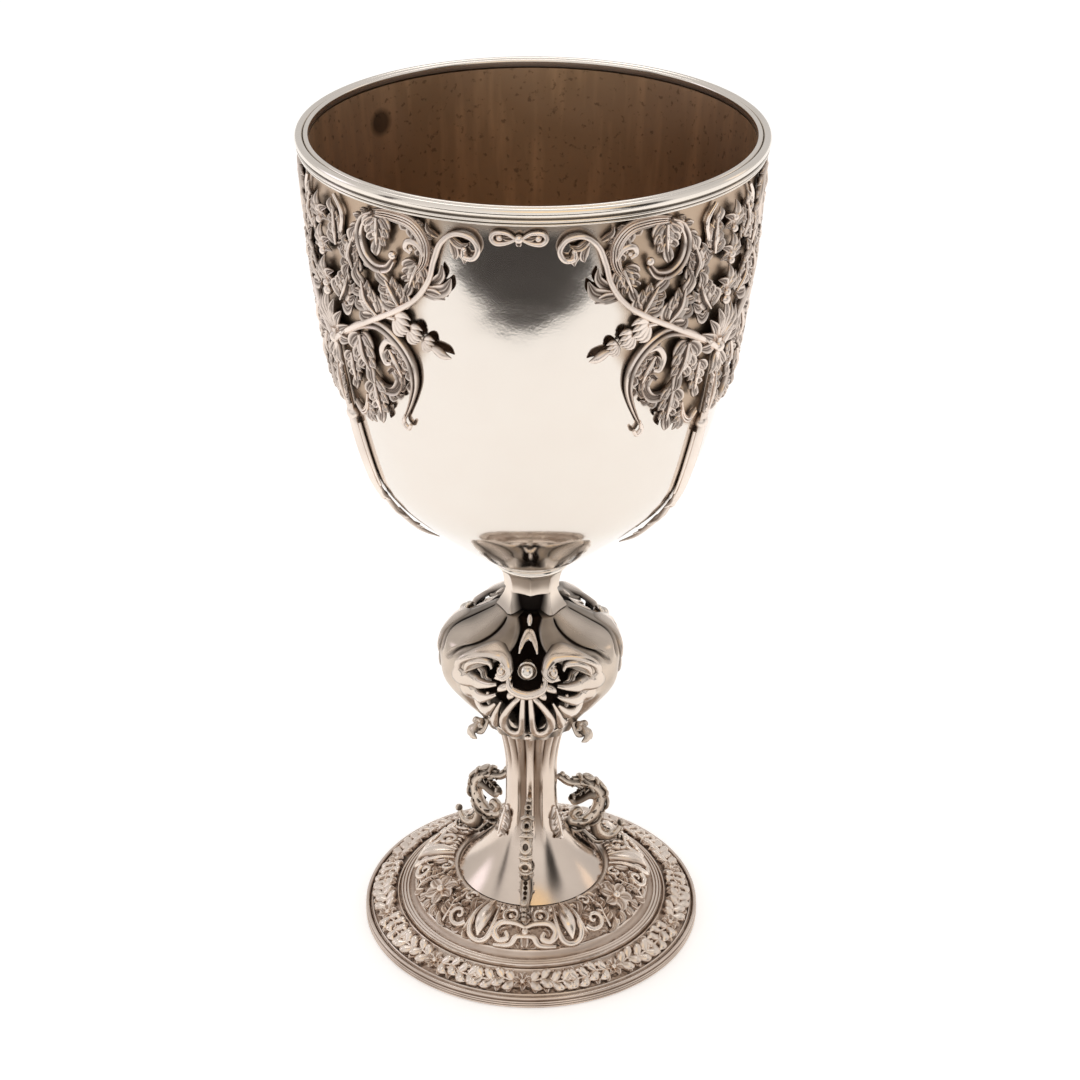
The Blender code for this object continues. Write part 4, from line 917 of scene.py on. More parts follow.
# Stem leaves
# Three small oval leaves, each cast in one with its raised rib and lapped lobes. They are soldered
# flat on the trumpet between the brackets.
LEAF_RADIUS = 10.0            # of the trumpet where a leaf is as wide as it is drawn
# Pale and dull, as cast metal is, with soft brown in its hollows, which keeps small forms readable.
CAST_SILVER = silver("cast_sterling", "FAEEE4", "7E6A5A", 0.3, worked=0.1)
stem_rise = np.linspace(22.0, 38.0, 40)
stem_profile = measured(np.column_stack((stem_radius(stem_rise), stem_rise)), 60)
leaf_parts = [swept([(0.0, 0.7, 12.0), (0.0, 1.0, 8.0), (0.0, 0.7, 3.8)], (0.3, 0.4, 0.2), (0.4, 0.5, 0.3)),
              swept([(0.0, 0.1, 12.6), (0.0, 0.4, 8.0), (0.0, 0.1, 3.2)], (0.7, 2.7, 2.8, 0.5),
                    (0.4, 0.6, 0.4), DOMED)]
for k in range(4):
    for lean in (1, -1):
        root, tip = (0.2 * lean, 11.0 - 1.8 * k), (2.7 * lean, 9.8 - 1.75 * k)
        leaf_parts.append(petal(root, tip, 1.4, 0.15, 0.6, 0.9, 0.3))
leaf_casting = laid_on(leaf_parts, *stem_profile, LEAF_RADIUS)
in_threes("stem_leaf", leaf_casting, 60.0, CAST_SILVER, "cast_silver", "stem_leaf")


# Knop body
# A hollow casting, full and smooth at its three corners. Between them its faces open into deep
# hollows, painted black as shade, framed by the arms that sweep down from the neck.
KNOP_BASE = 58.5
KNOP_TOP = 91.9
KNOP_FOOT_RADIUS = 11.2
KNOP_HEAD_RADIUS = 8.8
CORNER_REACH = 24.4           # the largest radius at a corner
FACE_REACH = 15.5             # and in the middle of a face
HOLLOW_DEPTH = 4.8
# How far each swells out, as a share of that radius, at shares of the knop's height.
KNOP_CORNER = ((0, 0), (0.12, 0.2), (0.28, 0.56), (0.5, 0.93), (0.69, 1.0), (0.8, 0.92), (0.86, 0.78),
               (0.905, 0.45), (0.95, 0.2), (1, 0))
KNOP_FACE = ((0, 0), (0.25, 0.35), (0.5, 0.9), (0.66, 1.0), (0.8, 0.95), (0.86, 0.78), (0.905, 0.45),
             (0.95, 0.18), (1, 0))
# Smooth warm metal painted nearly black in the hollows as painted shade, which makes the knop look
# pierced and deep.
KNOP_SILVER = silver("cast_and_smoothed_sterling", "DCCDBE", "1A120D", 0.17, wear=0.9, worked=0.25)


def knop_radius(azimuth, height):
    """Full at the three corners and flat on the three faces; both arguments are arrays."""
    share = np.clip((height - KNOP_BASE) / (KNOP_TOP - KNOP_BASE), 0.0, 1.0)
    ends = KNOP_FOOT_RADIUS + (KNOP_HEAD_RADIUS - KNOP_FOOT_RADIUS) * share
    corner = ends + (CORNER_REACH - ends) * through(KNOP_CORNER, share)
    face = ends + (FACE_REACH - ends) * through(KNOP_FACE, share)
    fullness = 2.2 - 1.4 * stepped(height, 78.0, 86.0)
    return face + (corner - face) * (0.5 - 0.5 * np.cos(3 * azimuth)) ** fullness


def knop_shell():
    """The knop's skin: its hollows with a lip round each, the arms above them and the fluted underside."""
    levels = np.linspace(KNOP_BASE, KNOP_TOP, 190)
    azimuths = np.linspace(0, math.tau, 432, endpoint=False)
    around, height = np.meshgrid(azimuths, levels)
    radii = knop_radius(around, height)
    off_face = off_middle(around)
    window = through(((60.5, 4), (63, 16), (67, 31), (71, 40), (76, 45), (80, 43), (83, 32), (85.5, 18),
                      (88, 12), (90.2, 13), (91.9, 20)), height)
    inside = stepped(off_face - window, 1.6, -2.4)
    bottom = stepped(height, 60.4, 63.0)
    lip = np.exp(-((off_face - window - 3.0) / 1.9) ** 2) * stepped(height, 66.0, 72.0)
    top = stepped(height, 91.6, 89.5)
    crease = through(((76, 60), (80, 58), (84, 55), (86.4, 50), (88.2, 40), (90.2, 37), (91.9, 40)), height)
    furrow = np.exp(-((off_face - crease) / 1.7) ** 2)
    furrow *= stepped(height, 82.5, 85.5) * stepped(height, KNOP_TOP, KNOP_TOP - 0.9)
    swelling = np.exp(-((off_face - 0.5 * (crease + window)) / 6.0) ** 2) * stepped(height, 84.0, 87.0) * top
    hollow = HOLLOW_DEPTH * inside * bottom * (1 - 0.7 * stepped(height, 85.5, 89.5))
    wave = np.cos(18 * around)
    flutes = 0.28 * wave * stepped(height, 66.0, 60.5)
    radii += 0.55 * lip * top - hollow + 0.7 * swelling - 0.95 * furrow + flutes
    # Painted shade fills the hollows, and the shoulders by the neck take a painted dark reflection with
    # tarnish; the creases and the underside's flutes are darker too.
    shoulder = stepped(off_face, 57.0, 38.0) * stepped(height, 81.0, 86.0)
    tarnish_and_shade = np.clip(1.25 * inside * bottom + 0.75 * furrow + 0.3 * stepped(height, 68, 60) * (1 - wave)
                     + 0.45 * shoulder, 0, 1)
    hole_bottom = np.full((1, len(azimuths)), 8.6)
    hole_top = np.full((1, len(azimuths)), 4.0)
    radii = np.vstack((hole_bottom, radii, hole_top))
    heights = np.concatenate(((KNOP_BASE,), levels, (KNOP_TOP,)))
    tarnish_and_shade = np.vstack((0 * hole_bottom + 0.8, tarnish_and_shade, 0 * hole_top + 0.8))
    grid_piece("knop", radii, heights, azimuths, KNOP_SILVER, tarnish_and_shade, "cast_silver", "knop_body")


knop_shell()


# Knop cartouches
# Pierced castings soldered over the hollow faces. Paired volutes with double edges stand over curled
# leaves and two long open loops; a cradle and a small arch with a leaf hold the boss between them.
CARTOUCHE_BASE = 63.7
CARTOUCHE_REACH = 19.0        # half its width
CARTOUCHE_SWEEP = 48.0        # degrees that its half width takes up round the axis
# Brighter than the hollow behind it and brown in its own folds, which makes its bars stand free.
KNOP_CASTING = silver("smoothed_casting", "EADCCF", "2A1E15", 0.17, wear=0.4, worked=0.1)


def bent_to(parts, surface):
    """Flat parts bent on to a surface, which turns points (across, out, up) into places."""
    points, faces, shade = joined(parts)
    return surface(points), faces, shade


def round_axis(radius, azimuth, height):
    """Points from radii, azimuths and heights."""
    return np.column_stack((radius * np.sin(azimuth), -radius * np.cos(azimuth), height))


def on_cartouche(points):
    """Where flat points come on the knop's face; over the hollow they bridge it."""
    across, out, up = points.T
    up = up + CARTOUCHE_BASE
    azimuth = across / CARTOUCHE_REACH * math.radians(CARTOUCHE_SWEEP)
    bridge = np.interp(up, (61.7, 66.7, 71.7, 76.7, 80.7, 84.7, 87.2, 89.4, 92.5, 95.5),
                       (15.2, 17.8, 19.9, 21.0, 20.6, 18.8, 16.6, 13.2, 9.8, 7.8))
    sunk = stepped(np.abs(across), 8.0, 17.0)
    ground = np.maximum(knop_radius(azimuth, up) + 0.1 - sunk, bridge - 2.0 * sunk)
    return round_axis(ground + out, azimuth, up)


def flat(points, out):
    """Points (across, up) at one height off the ground."""
    return [(x, out, z) for x, z in points]


def fan(middle, start, rays, *shape):
    """Petals that begin at a distance from a middle; each ray is an angle in degrees and a reach."""
    parts = []
    for angle, reach in rays:
        aim = toward(math.radians(angle))
        parts.append(petal(middle + start * aim, middle + reach * aim, *shape))
    return parts


def cartouche_casting():
    """A cartouche, drawn flat in (across, up) from its lower middle, one half and its mirror image."""
    half = [
        swept(flat([(18.9, 17.6), (18.3, 20.2), (15.7, 22.4), (12.3, 23.5), (8.9, 23.2), (6.0, 21.8),
                    (5.0, 19.8), (6.5, 18.4), (8.2, 19.2)], 1.1),
              (0.5, 1.0, 1.2, 1.25, 1.25, 1.2, 1.1, 0.9, 0.7), (0.6, 1.0, 1.0, 1.0, 1.0, 0.7), DOMED),
        bead(7.2, 20.0, 1.2, 1.3, 0.8),
        swept(flat([(17.2, 17.6), (16.2, 19.8), (13.8, 21.3), (11.4, 21.1), (10.1, 19.6)], 0.9),
              (0.4, 0.9, 1.0, 0.9, 0.4), (0.5, 0.9, 0.9, 0.5), DOMED),
        petal((14.6, 18.8), (9.8, 16.8), 2.4, 0.2, 0.1, 0.7, 0.3),
    ]
    crescents = (
        ((7.8, 16.6), (11.8, 15.2), (15.6, 14.4), (18.4, 15.6), (19.2, 18.6)),
        ((7.8, 13.9), (11.2, 11.7), (14.6, 10.3), (17.3, 11.0), (18.5, 14.0)),
        ((8.2, 11.0), (10.6, 8.2), (13.4, 6.2), (15.8, 6.6), (17.2, 9.2)),
    )
    for line in crescents:
        half.append(swept(flat(line, 1.0), (0.4, 1.1, 2.0, 2.5, 0.2), (0.5, 0.9, 1.2, 1.0, 0.3), DOMED))
    rays = ((12, 8.4), (-10, 9.0), (-32, 9.0), (-54, 7.8))
    half += fan((0.0, 19.2), 4.2, rays, 2.0, 0.12, 0.9, 1.3, 0.5, DOMED, 0.7)
    half += [
        swept(flat([(1.1, 15.0), (3.2, 12.2), (5.6, 8.4), (6.9, 4.9), (6.4, 1.9), (4.3, 0.7), (2.2, 1.7),
                    (1.5, 4.8), (1.2, 9.4), (0.9, 14.2)], 1.05),
              (0.6, 0.8, 1.0, 1.3, 1.45, 1.45, 1.2, 0.9, 0.8, 0.6), (0.6, 0.85, 0.95, 0.95, 0.8, 0.6),
              DOMED),
        swept(flat([(6.6, 12.0), (8.4, 8.2), (9.7, 4.8), (11.4, 2.6), (13.3, 3.2)], 0.9),
              (0.3, 0.8, 1.4, 1.7, 0.2), (0.5, 0.8, 1.0, 0.8, 0.3), DOMED),
        petal((12.0, 11.6), (9.0, 9.4), 1.7, 0.2, 0.1, 0.5, 0.3), bead(10.6, 13.0, 0.6, 0.6),
        swept(flat([(7.4, 0.6), (10.8, 1.4), (14.4, 4.0), (17.0, 8.4), (18.2, 13.0), (18.7, 17.8)], 0.3),
              (0.3, 0.5, 0.5, 0.45, 0.3), (0.4, 0.5, 0.3)),
        swept(flat([(0.0, 25.7), (1.7, 25.3), (2.8, 24.1), (3.2, 22.6)], -1.8), (0.9, 1.0, 0.9, 0.4),
              (0.4, 0.6, 0.4)),
    ]
    middle = [swept(flat([(-5.0, 18.6), (-3.9, 16.0), (0.0, 14.7), (3.9, 16.0), (5.0, 18.6)], 1.3),
                    (0.5, 0.95, 1.15, 0.95, 0.5), (0.6, 1.0, 1.1, 1.0, 0.6)),
              petal((0.0, 29.4), (0.0, 27.3), 3.4, 0.0, -1.2, -0.9, 0.4, DOMED, 0.8),
              bead(0.0, -1.0, 1.15, 0.8, 0.9)]
    return bent_to(half + [mirrored(part) for part in half] + middle, on_cartouche)


in_threes("knop_cartouche", cartouche_casting(), 0.0, KNOP_CASTING, "cast_silver", "knop_cartouche")


# Knop bosses
# A turned silver button in the middle of each hollow face: a burnished dome with a ring round it, on
# a short stalk that is riveted through the casting.
BOSS_HEIGHT = 83.5
# The smoothest metal with hardly any tarnish, which gives the small domes their bright points of light.
BURNISHED = silver("burnished_sterling", "F1E9DF", "8E7B69", 0.13)


def boss():
    """A boss at the front, whose outline of (radius, distance from the axis) turns about its own line."""
    outline = [(0.0, 15.7), (1.3, 15.7), (1.3, 18.2), (2.2, 18.4), (2.5, 18.8), (2.5, 19.3), (2.3, 19.55),
               (2.05, 19.5), (1.95, 19.35)]
    outline += arc((0.0, 19.35), (1.95, 2.3), 12, 84, 9) + [(0.0, 21.7)]
    shades = [0.9, 0.9, 0.9, 0.3, 0.0, 0.0, 0.3, 0.9, 0.9] + [0.5] + [0.0] * 9
    points, shade = [], []
    steps = 40
    for (radius, out), dark in zip(outline, shades):
        for k in range(steps):
            angle = math.tau * k / steps
            points.append((radius * math.cos(angle), -out, BOSS_HEIGHT + radius * math.sin(angle)))
            shade.append(dark)
    return np.array(points), tube_faces(len(outline), steps), np.array(shade)


in_threes("knop_boss", boss(), 0.0, BURNISHED, "cast_silver", "knop_boss")


# Knop pendants
# A small cast spray of leaves hangs below each corner of the knop, soldered under its surface. It is
# of the same darkened metal as the brackets.
pendant_path = ((12.3, 62.9), (12.8, 61.2), (13.6, 59.6), (14.6, 58.6), (15.6, 58.9))
pendant_parts = [stood([upright_bar(pendant_path, (0.9, 1.1, 1.3, 1.5, 0.9), (0.8, 0.9, 1.0, 1.0, 0.7),
                                    ROUND, 0.35)])]
pendant_back = measured([(16.3, 57.0), (16.0, 58.8), (14.9, 60.2), (13.8, 61.4), (13.4, 63.0)])
pendant_leaves = [petal((0.0, 4.2), (0.0, 0.0), 2.6, 0.0, 0.2, 1.2, 0.7, DOMED, 0.6),
                  bead(0.0, 4.9, 0.9, 0.4)]
for side in (1, -1):
    root, tip = (0.3 * side, 4.2), (2.5 * side, 1.0)
    pendant_leaves.append(petal(root, tip, 2.4, -0.3 * side, 0.1, 1.1, 0.7, DOMED, 0.6))
    root, tip = (0.3 * side, 5.2), (2.6 * side, 4.2)
    pendant_leaves.append(petal(root, tip, 1.9, -0.2 * side, 0.1, 0.9, 0.5, DOMED, 0.5))
pendant_parts.append(laid_on(pendant_leaves, *pendant_back, None))
in_threes("knop_pendant", joined(pendant_parts), 60.0, BRACKET_SILVER, "cast_silver", "knop_pendant")


# Neck
# A waisted casting filed to nine hollow facets. Three arms at its foot carry on those of the knop;
# between them it is cut back to a core round the rod, painted dark as shade.
NECK_FACETS = 9
NECK_BASE = 92.2
NECK_TOP = 102.9
CORE_RADIUS = 4.6
# Pale satin facets, as a file leaves them, over a core painted black as shade, which makes the arms
# look cut free.
NECK_SILVER = silver("filed_sterling", "F4E6D8", "2B2522", 0.27, wear=0.3, worked=0.1)


def neck():
    """The neck's skin: flat facets with hollowed middles, opened to the core between the arms."""
    levels = np.linspace(NECK_BASE, NECK_TOP, 90)
    plain = through(((NECK_BASE, 8.8), (93.7, 7.9), (96.3, 7.0), (98.8, 6.9), (101.6, 7.55),
                     (NECK_TOP, 8.2)), levels)
    azimuths = np.linspace(0, math.tau, NECK_FACETS * 32, endpoint=False)
    place = (azimuths * NECK_FACETS / math.tau) % 1.0 - 0.5
    hollow = np.cos(math.pi / NECK_FACETS) / np.cos(place * math.tau / NECK_FACETS)
    filed = np.abs(place * 2) ** 1.6
    radii = plain[:, None] * (hollow - 0.018 * (1 - filed))[None, :]
    opening = through(((NECK_BASE, 31.0), (94.0, 37.0), (96.8, 43.0)), levels)[:, None]
    open_here = stepped(off_middle(azimuths)[None, :] - opening, 3.0, -3.0)
    open_here = open_here * stepped(levels, 97.3, 97.0)[:, None]
    radii = radii + (CORE_RADIUS - radii) * open_here
    # The opened core is painted shade, the band at the foot a painted dark reflection, and the band under the
    # collar is darker too.
    shade = np.maximum(open_here, 0.35 * stepped(levels, 101.6, 102.7)[:, None])
    shade = np.maximum(shade, 0.3 * stepped(levels, 96.5, 93.0)[:, None])
    bore = np.full((1, len(azimuths)), CORE_RADIUS - 0.2)
    radii = np.vstack((bore, radii, bore))
    shade = np.vstack((0 * bore + 1.0, shade, 0 * bore + 1.0))
    heights = np.concatenate(((NECK_BASE,), levels, (NECK_TOP,)))
    grid_piece("neck", radii, heights, azimuths, NECK_SILVER, shade, "polished_silver", "neck")


neck()


# Bowl collar
# A round moulding on which the bowl rests, with a fine groove on either side. It is drawn as wire,
# bent to a ring, burnished and soldered on the neck.
collar_section = [(8.25, 103.2)] + arc((8.25, 104.1), (0.95, 0.9), -80, 80, 12)
collar_section += [(8.25, 105.1), (2.7, 105.1), (2.7, 103.2)]
collar_shade = [0.8, 0.2] + [0.0] * 10 + [0.3, 0.9, 0.9, 0.9]
collar = moulding("collar_moulding", collar_section, collar_shade, BURNISHED)
dressed(collar, "polished_silver", "bowl_collar")


# Bowl
# Raised from one sheet with the hammer, planished and burnished bright outside. Inside it is dull
# and brown with tarnish, streaked downwards by what was poured out.
BOWL_BASE = 105.4
BOWL_DEPTH = 106.5
BOWL_RADIUS = 51.2
BOWL_WALL = 1.1
BOWL_FLAT = 4.0               # the radius of its level middle
SPOT = (-0.0382, 0.0318, 0.2035)        # metres, where a drop dried inside the rim
SPOT_EDGE = 0.0038            # metres from its centre, where it ends
SPOT_MIDDLE = 0.0022          # and where it is darkest
# Radii and heights, as shares of the bowl's own, at which its outside is drawn.
BOWL_OUTLINE = ((0.0, 0.19), (0.045, 0.325), (0.148, 0.572), (0.214, 0.701), (0.289, 0.787), (0.468, 0.883),
                (0.684, 0.949), (1.0, 1.0))


def bowl_radius(height):
    """The radius of the bowl's outside."""
    return BOWL_RADIUS * through(BOWL_OUTLINE, (height - BOWL_BASE) / BOWL_DEPTH)


def bowl_shell():
    """The bowl's skin, inside and out, with dark ground behind the mounts' openings and under the rim."""
    levels = BOWL_BASE + BOWL_DEPTH * np.linspace(0.0, 1.0, 170) ** 1.25
    outside = np.column_stack((bowl_radius(levels), levels))
    slope = np.gradient(outside, axis=0)
    slope /= np.hypot(*slope.T)[:, None]
    inside = outside + BOWL_WALL * np.column_stack((-slope[:, 1], slope[:, 0]))
    floor = BOWL_BASE + BOWL_WALL
    inside = inside[(inside[:, 1] > floor) & (inside[:, 0] > BOWL_FLAT)]
    inside[-1, 1] = BOWL_BASE + BOWL_DEPTH
    outline = [(0.0, floor), (BOWL_FLAT - 1.0, floor)] + inside.tolist() + outside[::-1].tolist()
    outline += [(BOWL_FLAT, BOWL_BASE), (0.0, BOWL_BASE)]
    dark = [1.0] * (2 + len(inside)) + [0.0] * len(outside) + [0.8, 0.8]
    shell = turned("raised_bowl", outline, dark, BOWL_SILVER, 276, closed=False)
    mesh = shell.data
    points = np.empty(3 * len(mesh.vertices), np.float32)
    mesh.vertices.foreach_get("co", points)
    x, y, height = points.reshape(-1, 3).T / MM
    third = math.tau / 3
    across = BOWL_RADIUS * np.abs(np.arctan2(x, -y) % third - 0.5 * third)
    reach = np.interp(height, (128, 153, 158, 166, 172, 178, 188, 198, 205, 209),
                      (0, 2, 14, 24, 27, 31, 30, 35, 38, 38))
    tarnish_and_shade = np.empty(len(mesh.vertices), np.float32)
    shade = mesh.attributes["tarnish_and_shade"].data
    shade.foreach_get("value", tarnish_and_shade)
    # Behind the mounts' openings the bowl is painted darker, tarnish with painted shade of the castings;
    # under the rim a band is painted shade.
    behind = 0.78 * stepped(across - reach, 2.5, -2.5)
    shade_under_rim = 0.6 * stepped(height, 205.5, 210.0)
    shade.foreach_set("value", np.maximum(tarnish_and_shade, np.maximum(behind, shade_under_rim)).astype(np.float32))
    dressed(shell, "polished_silver", "bowl")


def stained(material):
    """The tarnish inside a vessel: grey clouds 30 mm wide, warm streaks, specks 1.5 mm wide and a spot."""
    tree = material.node_tree
    where = add(tree, "ShaderNodeTexCoord").outputs["Object"]
    shader = tree.nodes["Principled BSDF"]
    colour = shader.inputs["Base Color"].links[0].from_socket
    tarnish_and_shade = add(tree, "ShaderNodeAttribute", attribute_name="tarnish_and_shade").outputs["Fac"]
    inside = ranged(tree, tarnish_and_shade, 0.85, 0.95)
    drawn = add(tree, "ShaderNodeMapping", {"Vector": where, "Scale": (1.0, 1.0, 0.12)}).outputs["Vector"]
    layers = (
        (where, 33.0, 1.0, 0.42, 0.62, 0.9, "C1A489"),
        (drawn, 260.0, 3.0, 0.48, 0.72, 0.5, "E4BF99"),
        (where, 700.0, 3.0, 0.6, 0.7, 0.45, "3A2A1E"),
    )
    for vector, scale, detail, low, high, most, tint in layers:
        amount = ranged(tree, noise(tree, vector, scale, detail), low, high, 0.0, most)
        amount = add(tree, "ShaderNodeMath", {0: amount, 1: inside}, operation="MULTIPLY").outputs[0]
        mixed = add(tree, "ShaderNodeMix", {0: amount, 6: colour, 7: linear(tint)}, data_type="RGBA")
        colour = mixed.outputs[2]
    away = add(tree, "ShaderNodeVectorMath", {0: where, 1: SPOT}, operation="DISTANCE").outputs["Value"]
    spot = ranged(tree, away, SPOT_EDGE, SPOT_MIDDLE, 0.0, 0.75)
    mixed = add(tree, "ShaderNodeMix", {0: spot, 6: colour, 7: linear("2A1E16")}, data_type="RGBA")
    tree.links.new(mixed.outputs[2], shader.inputs["Base Color"])


# A near mirror outside that bends the room's reflections a little, and a dull brown vessel inside.
BOWL_SILVER = silver("raised_sterling", "EAE3DB", "B39678", 0.09, wear=0.1, worked=0.12)
stained(BOWL_SILVER)
bowl_shell()


# Rim wire
# A moulding drawn as one silver wire: a full bead over finer reeds, with dark grooves between them.
# It is bent to a ring and soldered over the bowl's edge.
rim_section = ([(50.15, 212.3)] + arc((50.75, 213.45), (0.6, 0.55), 180, 10, 9) + [(51.4, 213.2)]
               + arc((52.35, 213.0), (0.95, 1.05), 160, -60, 15) + [(52.75, 211.85)]
               + arc((52.45, 211.35), (0.6, 0.42), 70, -70, 8) + [(52.35, 210.8)]
               + arc((52.1, 210.4), (0.5, 0.36), 70, -70, 8)
               + [(51.5, 209.75), (51.25, 209.7), (51.25, 212.0)])
rim_shade = ([0.6] + [0.3] + [0.0] * 7 + [0.4] + [0.95] + [0.4] + [0.0] * 12 + [0.3, 0.7] + [0.95]
             + [0.5] + [0.0] * 6 + [0.5] + [0.95] + [0.5] + [0.0] * 6 + [0.5] + [0.9, 0.9, 0.9])
# Bright crests with nearly black grooves, which makes the rim read as separate fine lines.
RIM_SILVER = silver("rim_moulding_sterling", "F1E9DF", "3A3029", 0.12, wear=0.2, worked=0.05)
dressed(moulding("rim_moulding", rim_section, rim_shade, RIM_SILVER, 300), "polished_silver", "rim_wire")


# Foliate mounts
# Openwork castings soldered on the bowl between its panels, mirrored about a central spire. Thin
# stems, broad scrolls, lobed leaves and scaly buds are all undercut; their backs and the bowl behind
# them are painted dark, tarnish with painted shade.
MOUNT_STAND = 0.2             # what the castings' ground stands off the bowl
# Pale crests over dark brown depths, tarnish with painted shade, which lets the many small leaves be
# told apart.
MOUNT_SILVER = silver("openwork_sterling", "F6E8DD", "4C3A2F", 0.25, wear=0.7, worked=0.1)


def on_bowl(points):
    """Where flat points come on the bowl, just off its surface."""
    across, out, up = points.T
    slope = bowl_radius(up + 0.5) - bowl_radius(up - 0.5)
    length = np.hypot(1.0, slope)
    stand = out + MOUNT_STAND
    return round_axis(bowl_radius(up) + stand / length, across / BOWL_RADIUS, up - slope * stand / length)


def band(points, widths, ridges, out):
    """A broad scroll with fine raised lines along it, like a long leaf seen from its back."""
    depth = 0.7
    parts = [swept(flat(points, out), widths, (0.5 * depth, depth, depth, 0.5 * depth), CUPPED)]
    path = smooth(points, 24)
    along = np.gradient(path, axis=0)
    along /= np.hypot(*along.T)[:, None]
    side = np.column_stack((-along[:, 1], along[:, 0]))
    width = smooth(widths, 24)
    for k in range(ridges):
        place = (k + 0.5) / ridges * 1.3 - 0.65
        line = path[1:-1] + side[1:-1] * width[1:-1] * place
        parts.append(swept(flat(line.tolist(), out + 0.55 * depth), (0.12, 0.24, 0.24, 0.12),
                           (0.3, 0.4, 0.3)))
    return parts


def acanthus(points, size, lobes, out, lift, taper=0.45):
    """A broad leaf with a cupped blade, a raised rib and pointed lobes along both its edges."""
    path = smooth(points, lobes + 2)
    rise = [out + 0.5 * lift * math.sin(math.pi * i / (len(points) - 1)) for i in range(len(points))]
    blade = [(x, up, z) for (x, z), up in zip(points, rise)]
    rib = [(x, up + 0.6, z) for (x, z), up in zip(points, rise)]
    parts = [swept(blade, (0.3 * size, 0.55 * size, 0.45 * size, 0.2 * size), (0.45, 0.6, 0.5, 0.3), CUPPED),
             swept(rib, (0.3, 0.34, 0.2), (0.4, 0.45, 0.3))]
    for k in range(lobes + 1):
        along = unit(path[k + 1] - path[max(k - 1, 0)])
        side = left_of(along)
        reach = size * (1.0 - taper * k / (lobes + 1))
        for lean in (1, -1):
            root = path[k] + 0.2 * reach * lean * side
            tip = path[k] + reach * (0.85 * along + 0.8 * lean * side)
            top = out + 0.9 * lift
            parts.append(petal(root, tip, 0.78 * reach, 0.25 * lean, out + 0.2, top, 0.7, CUPPED, 0.5))
    end = size * unit(path[-1] - path[-2])
    root, tip = path[-1] - 0.4 * end, path[-1] + 0.8 * end
    parts.append(petal(root, tip, 0.75 * size, 0.05, out + 0.3, out + lift, 0.6))
    return parts


def frilled(points, reach, edge, count, out):
    """Leaf lobes that lean forward along one edge of a scroll: 1 is its left edge, -1 its right."""
    path = smooth(points, count + 2)
    parts = []
    for k in range(1, count + 1):
        along = unit(path[k + 1] - path[k - 1])
        side = left_of(along) * edge
        size = reach * (0.55 + 0.45 * math.sin(math.pi * k / (count + 1)))
        root = path[k] + 0.2 * size * side
        tip = path[k] + size * (0.8 * side + 0.75 * along)
        parts.append(petal(root, tip, 0.8 * size, 0.25 * edge, out, out + 0.6, 0.6, CUPPED, 0.5))
    return parts


def bud(root, tip, rows, size):
    """A scaly bud: rows of rounded scales that overlap towards a pointed tip."""
    root, tip = np.asarray(root, float), np.asarray(tip, float)
    along = tip - root
    length = np.hypot(*along)
    along /= length
    parts = []
    for k in range(rows):
        centre = root + along * length * (0.08 + 0.74 * k / rows)
        reach = size * (1.0 - 0.18 * k)
        for lean in (-0.95, -0.45, 0.0, 0.45, 0.95):
            end = centre + reach * (along * (1.15 - 0.35 * abs(lean)) + left_of(along) * lean * 0.78)
            parts.append(petal(centre - 0.3 * reach * along, end, 0.62 * reach, 0.25 * lean, 0.5,
                               1.65 - 0.45 * abs(lean), 0.35, DOMED, 0.5))
    parts.append(petal(tip - 0.32 * length * along, tip, 0.62 * size, 0.0, 1.0, 1.5, 0.7, DOMED, 0.55))
    return parts


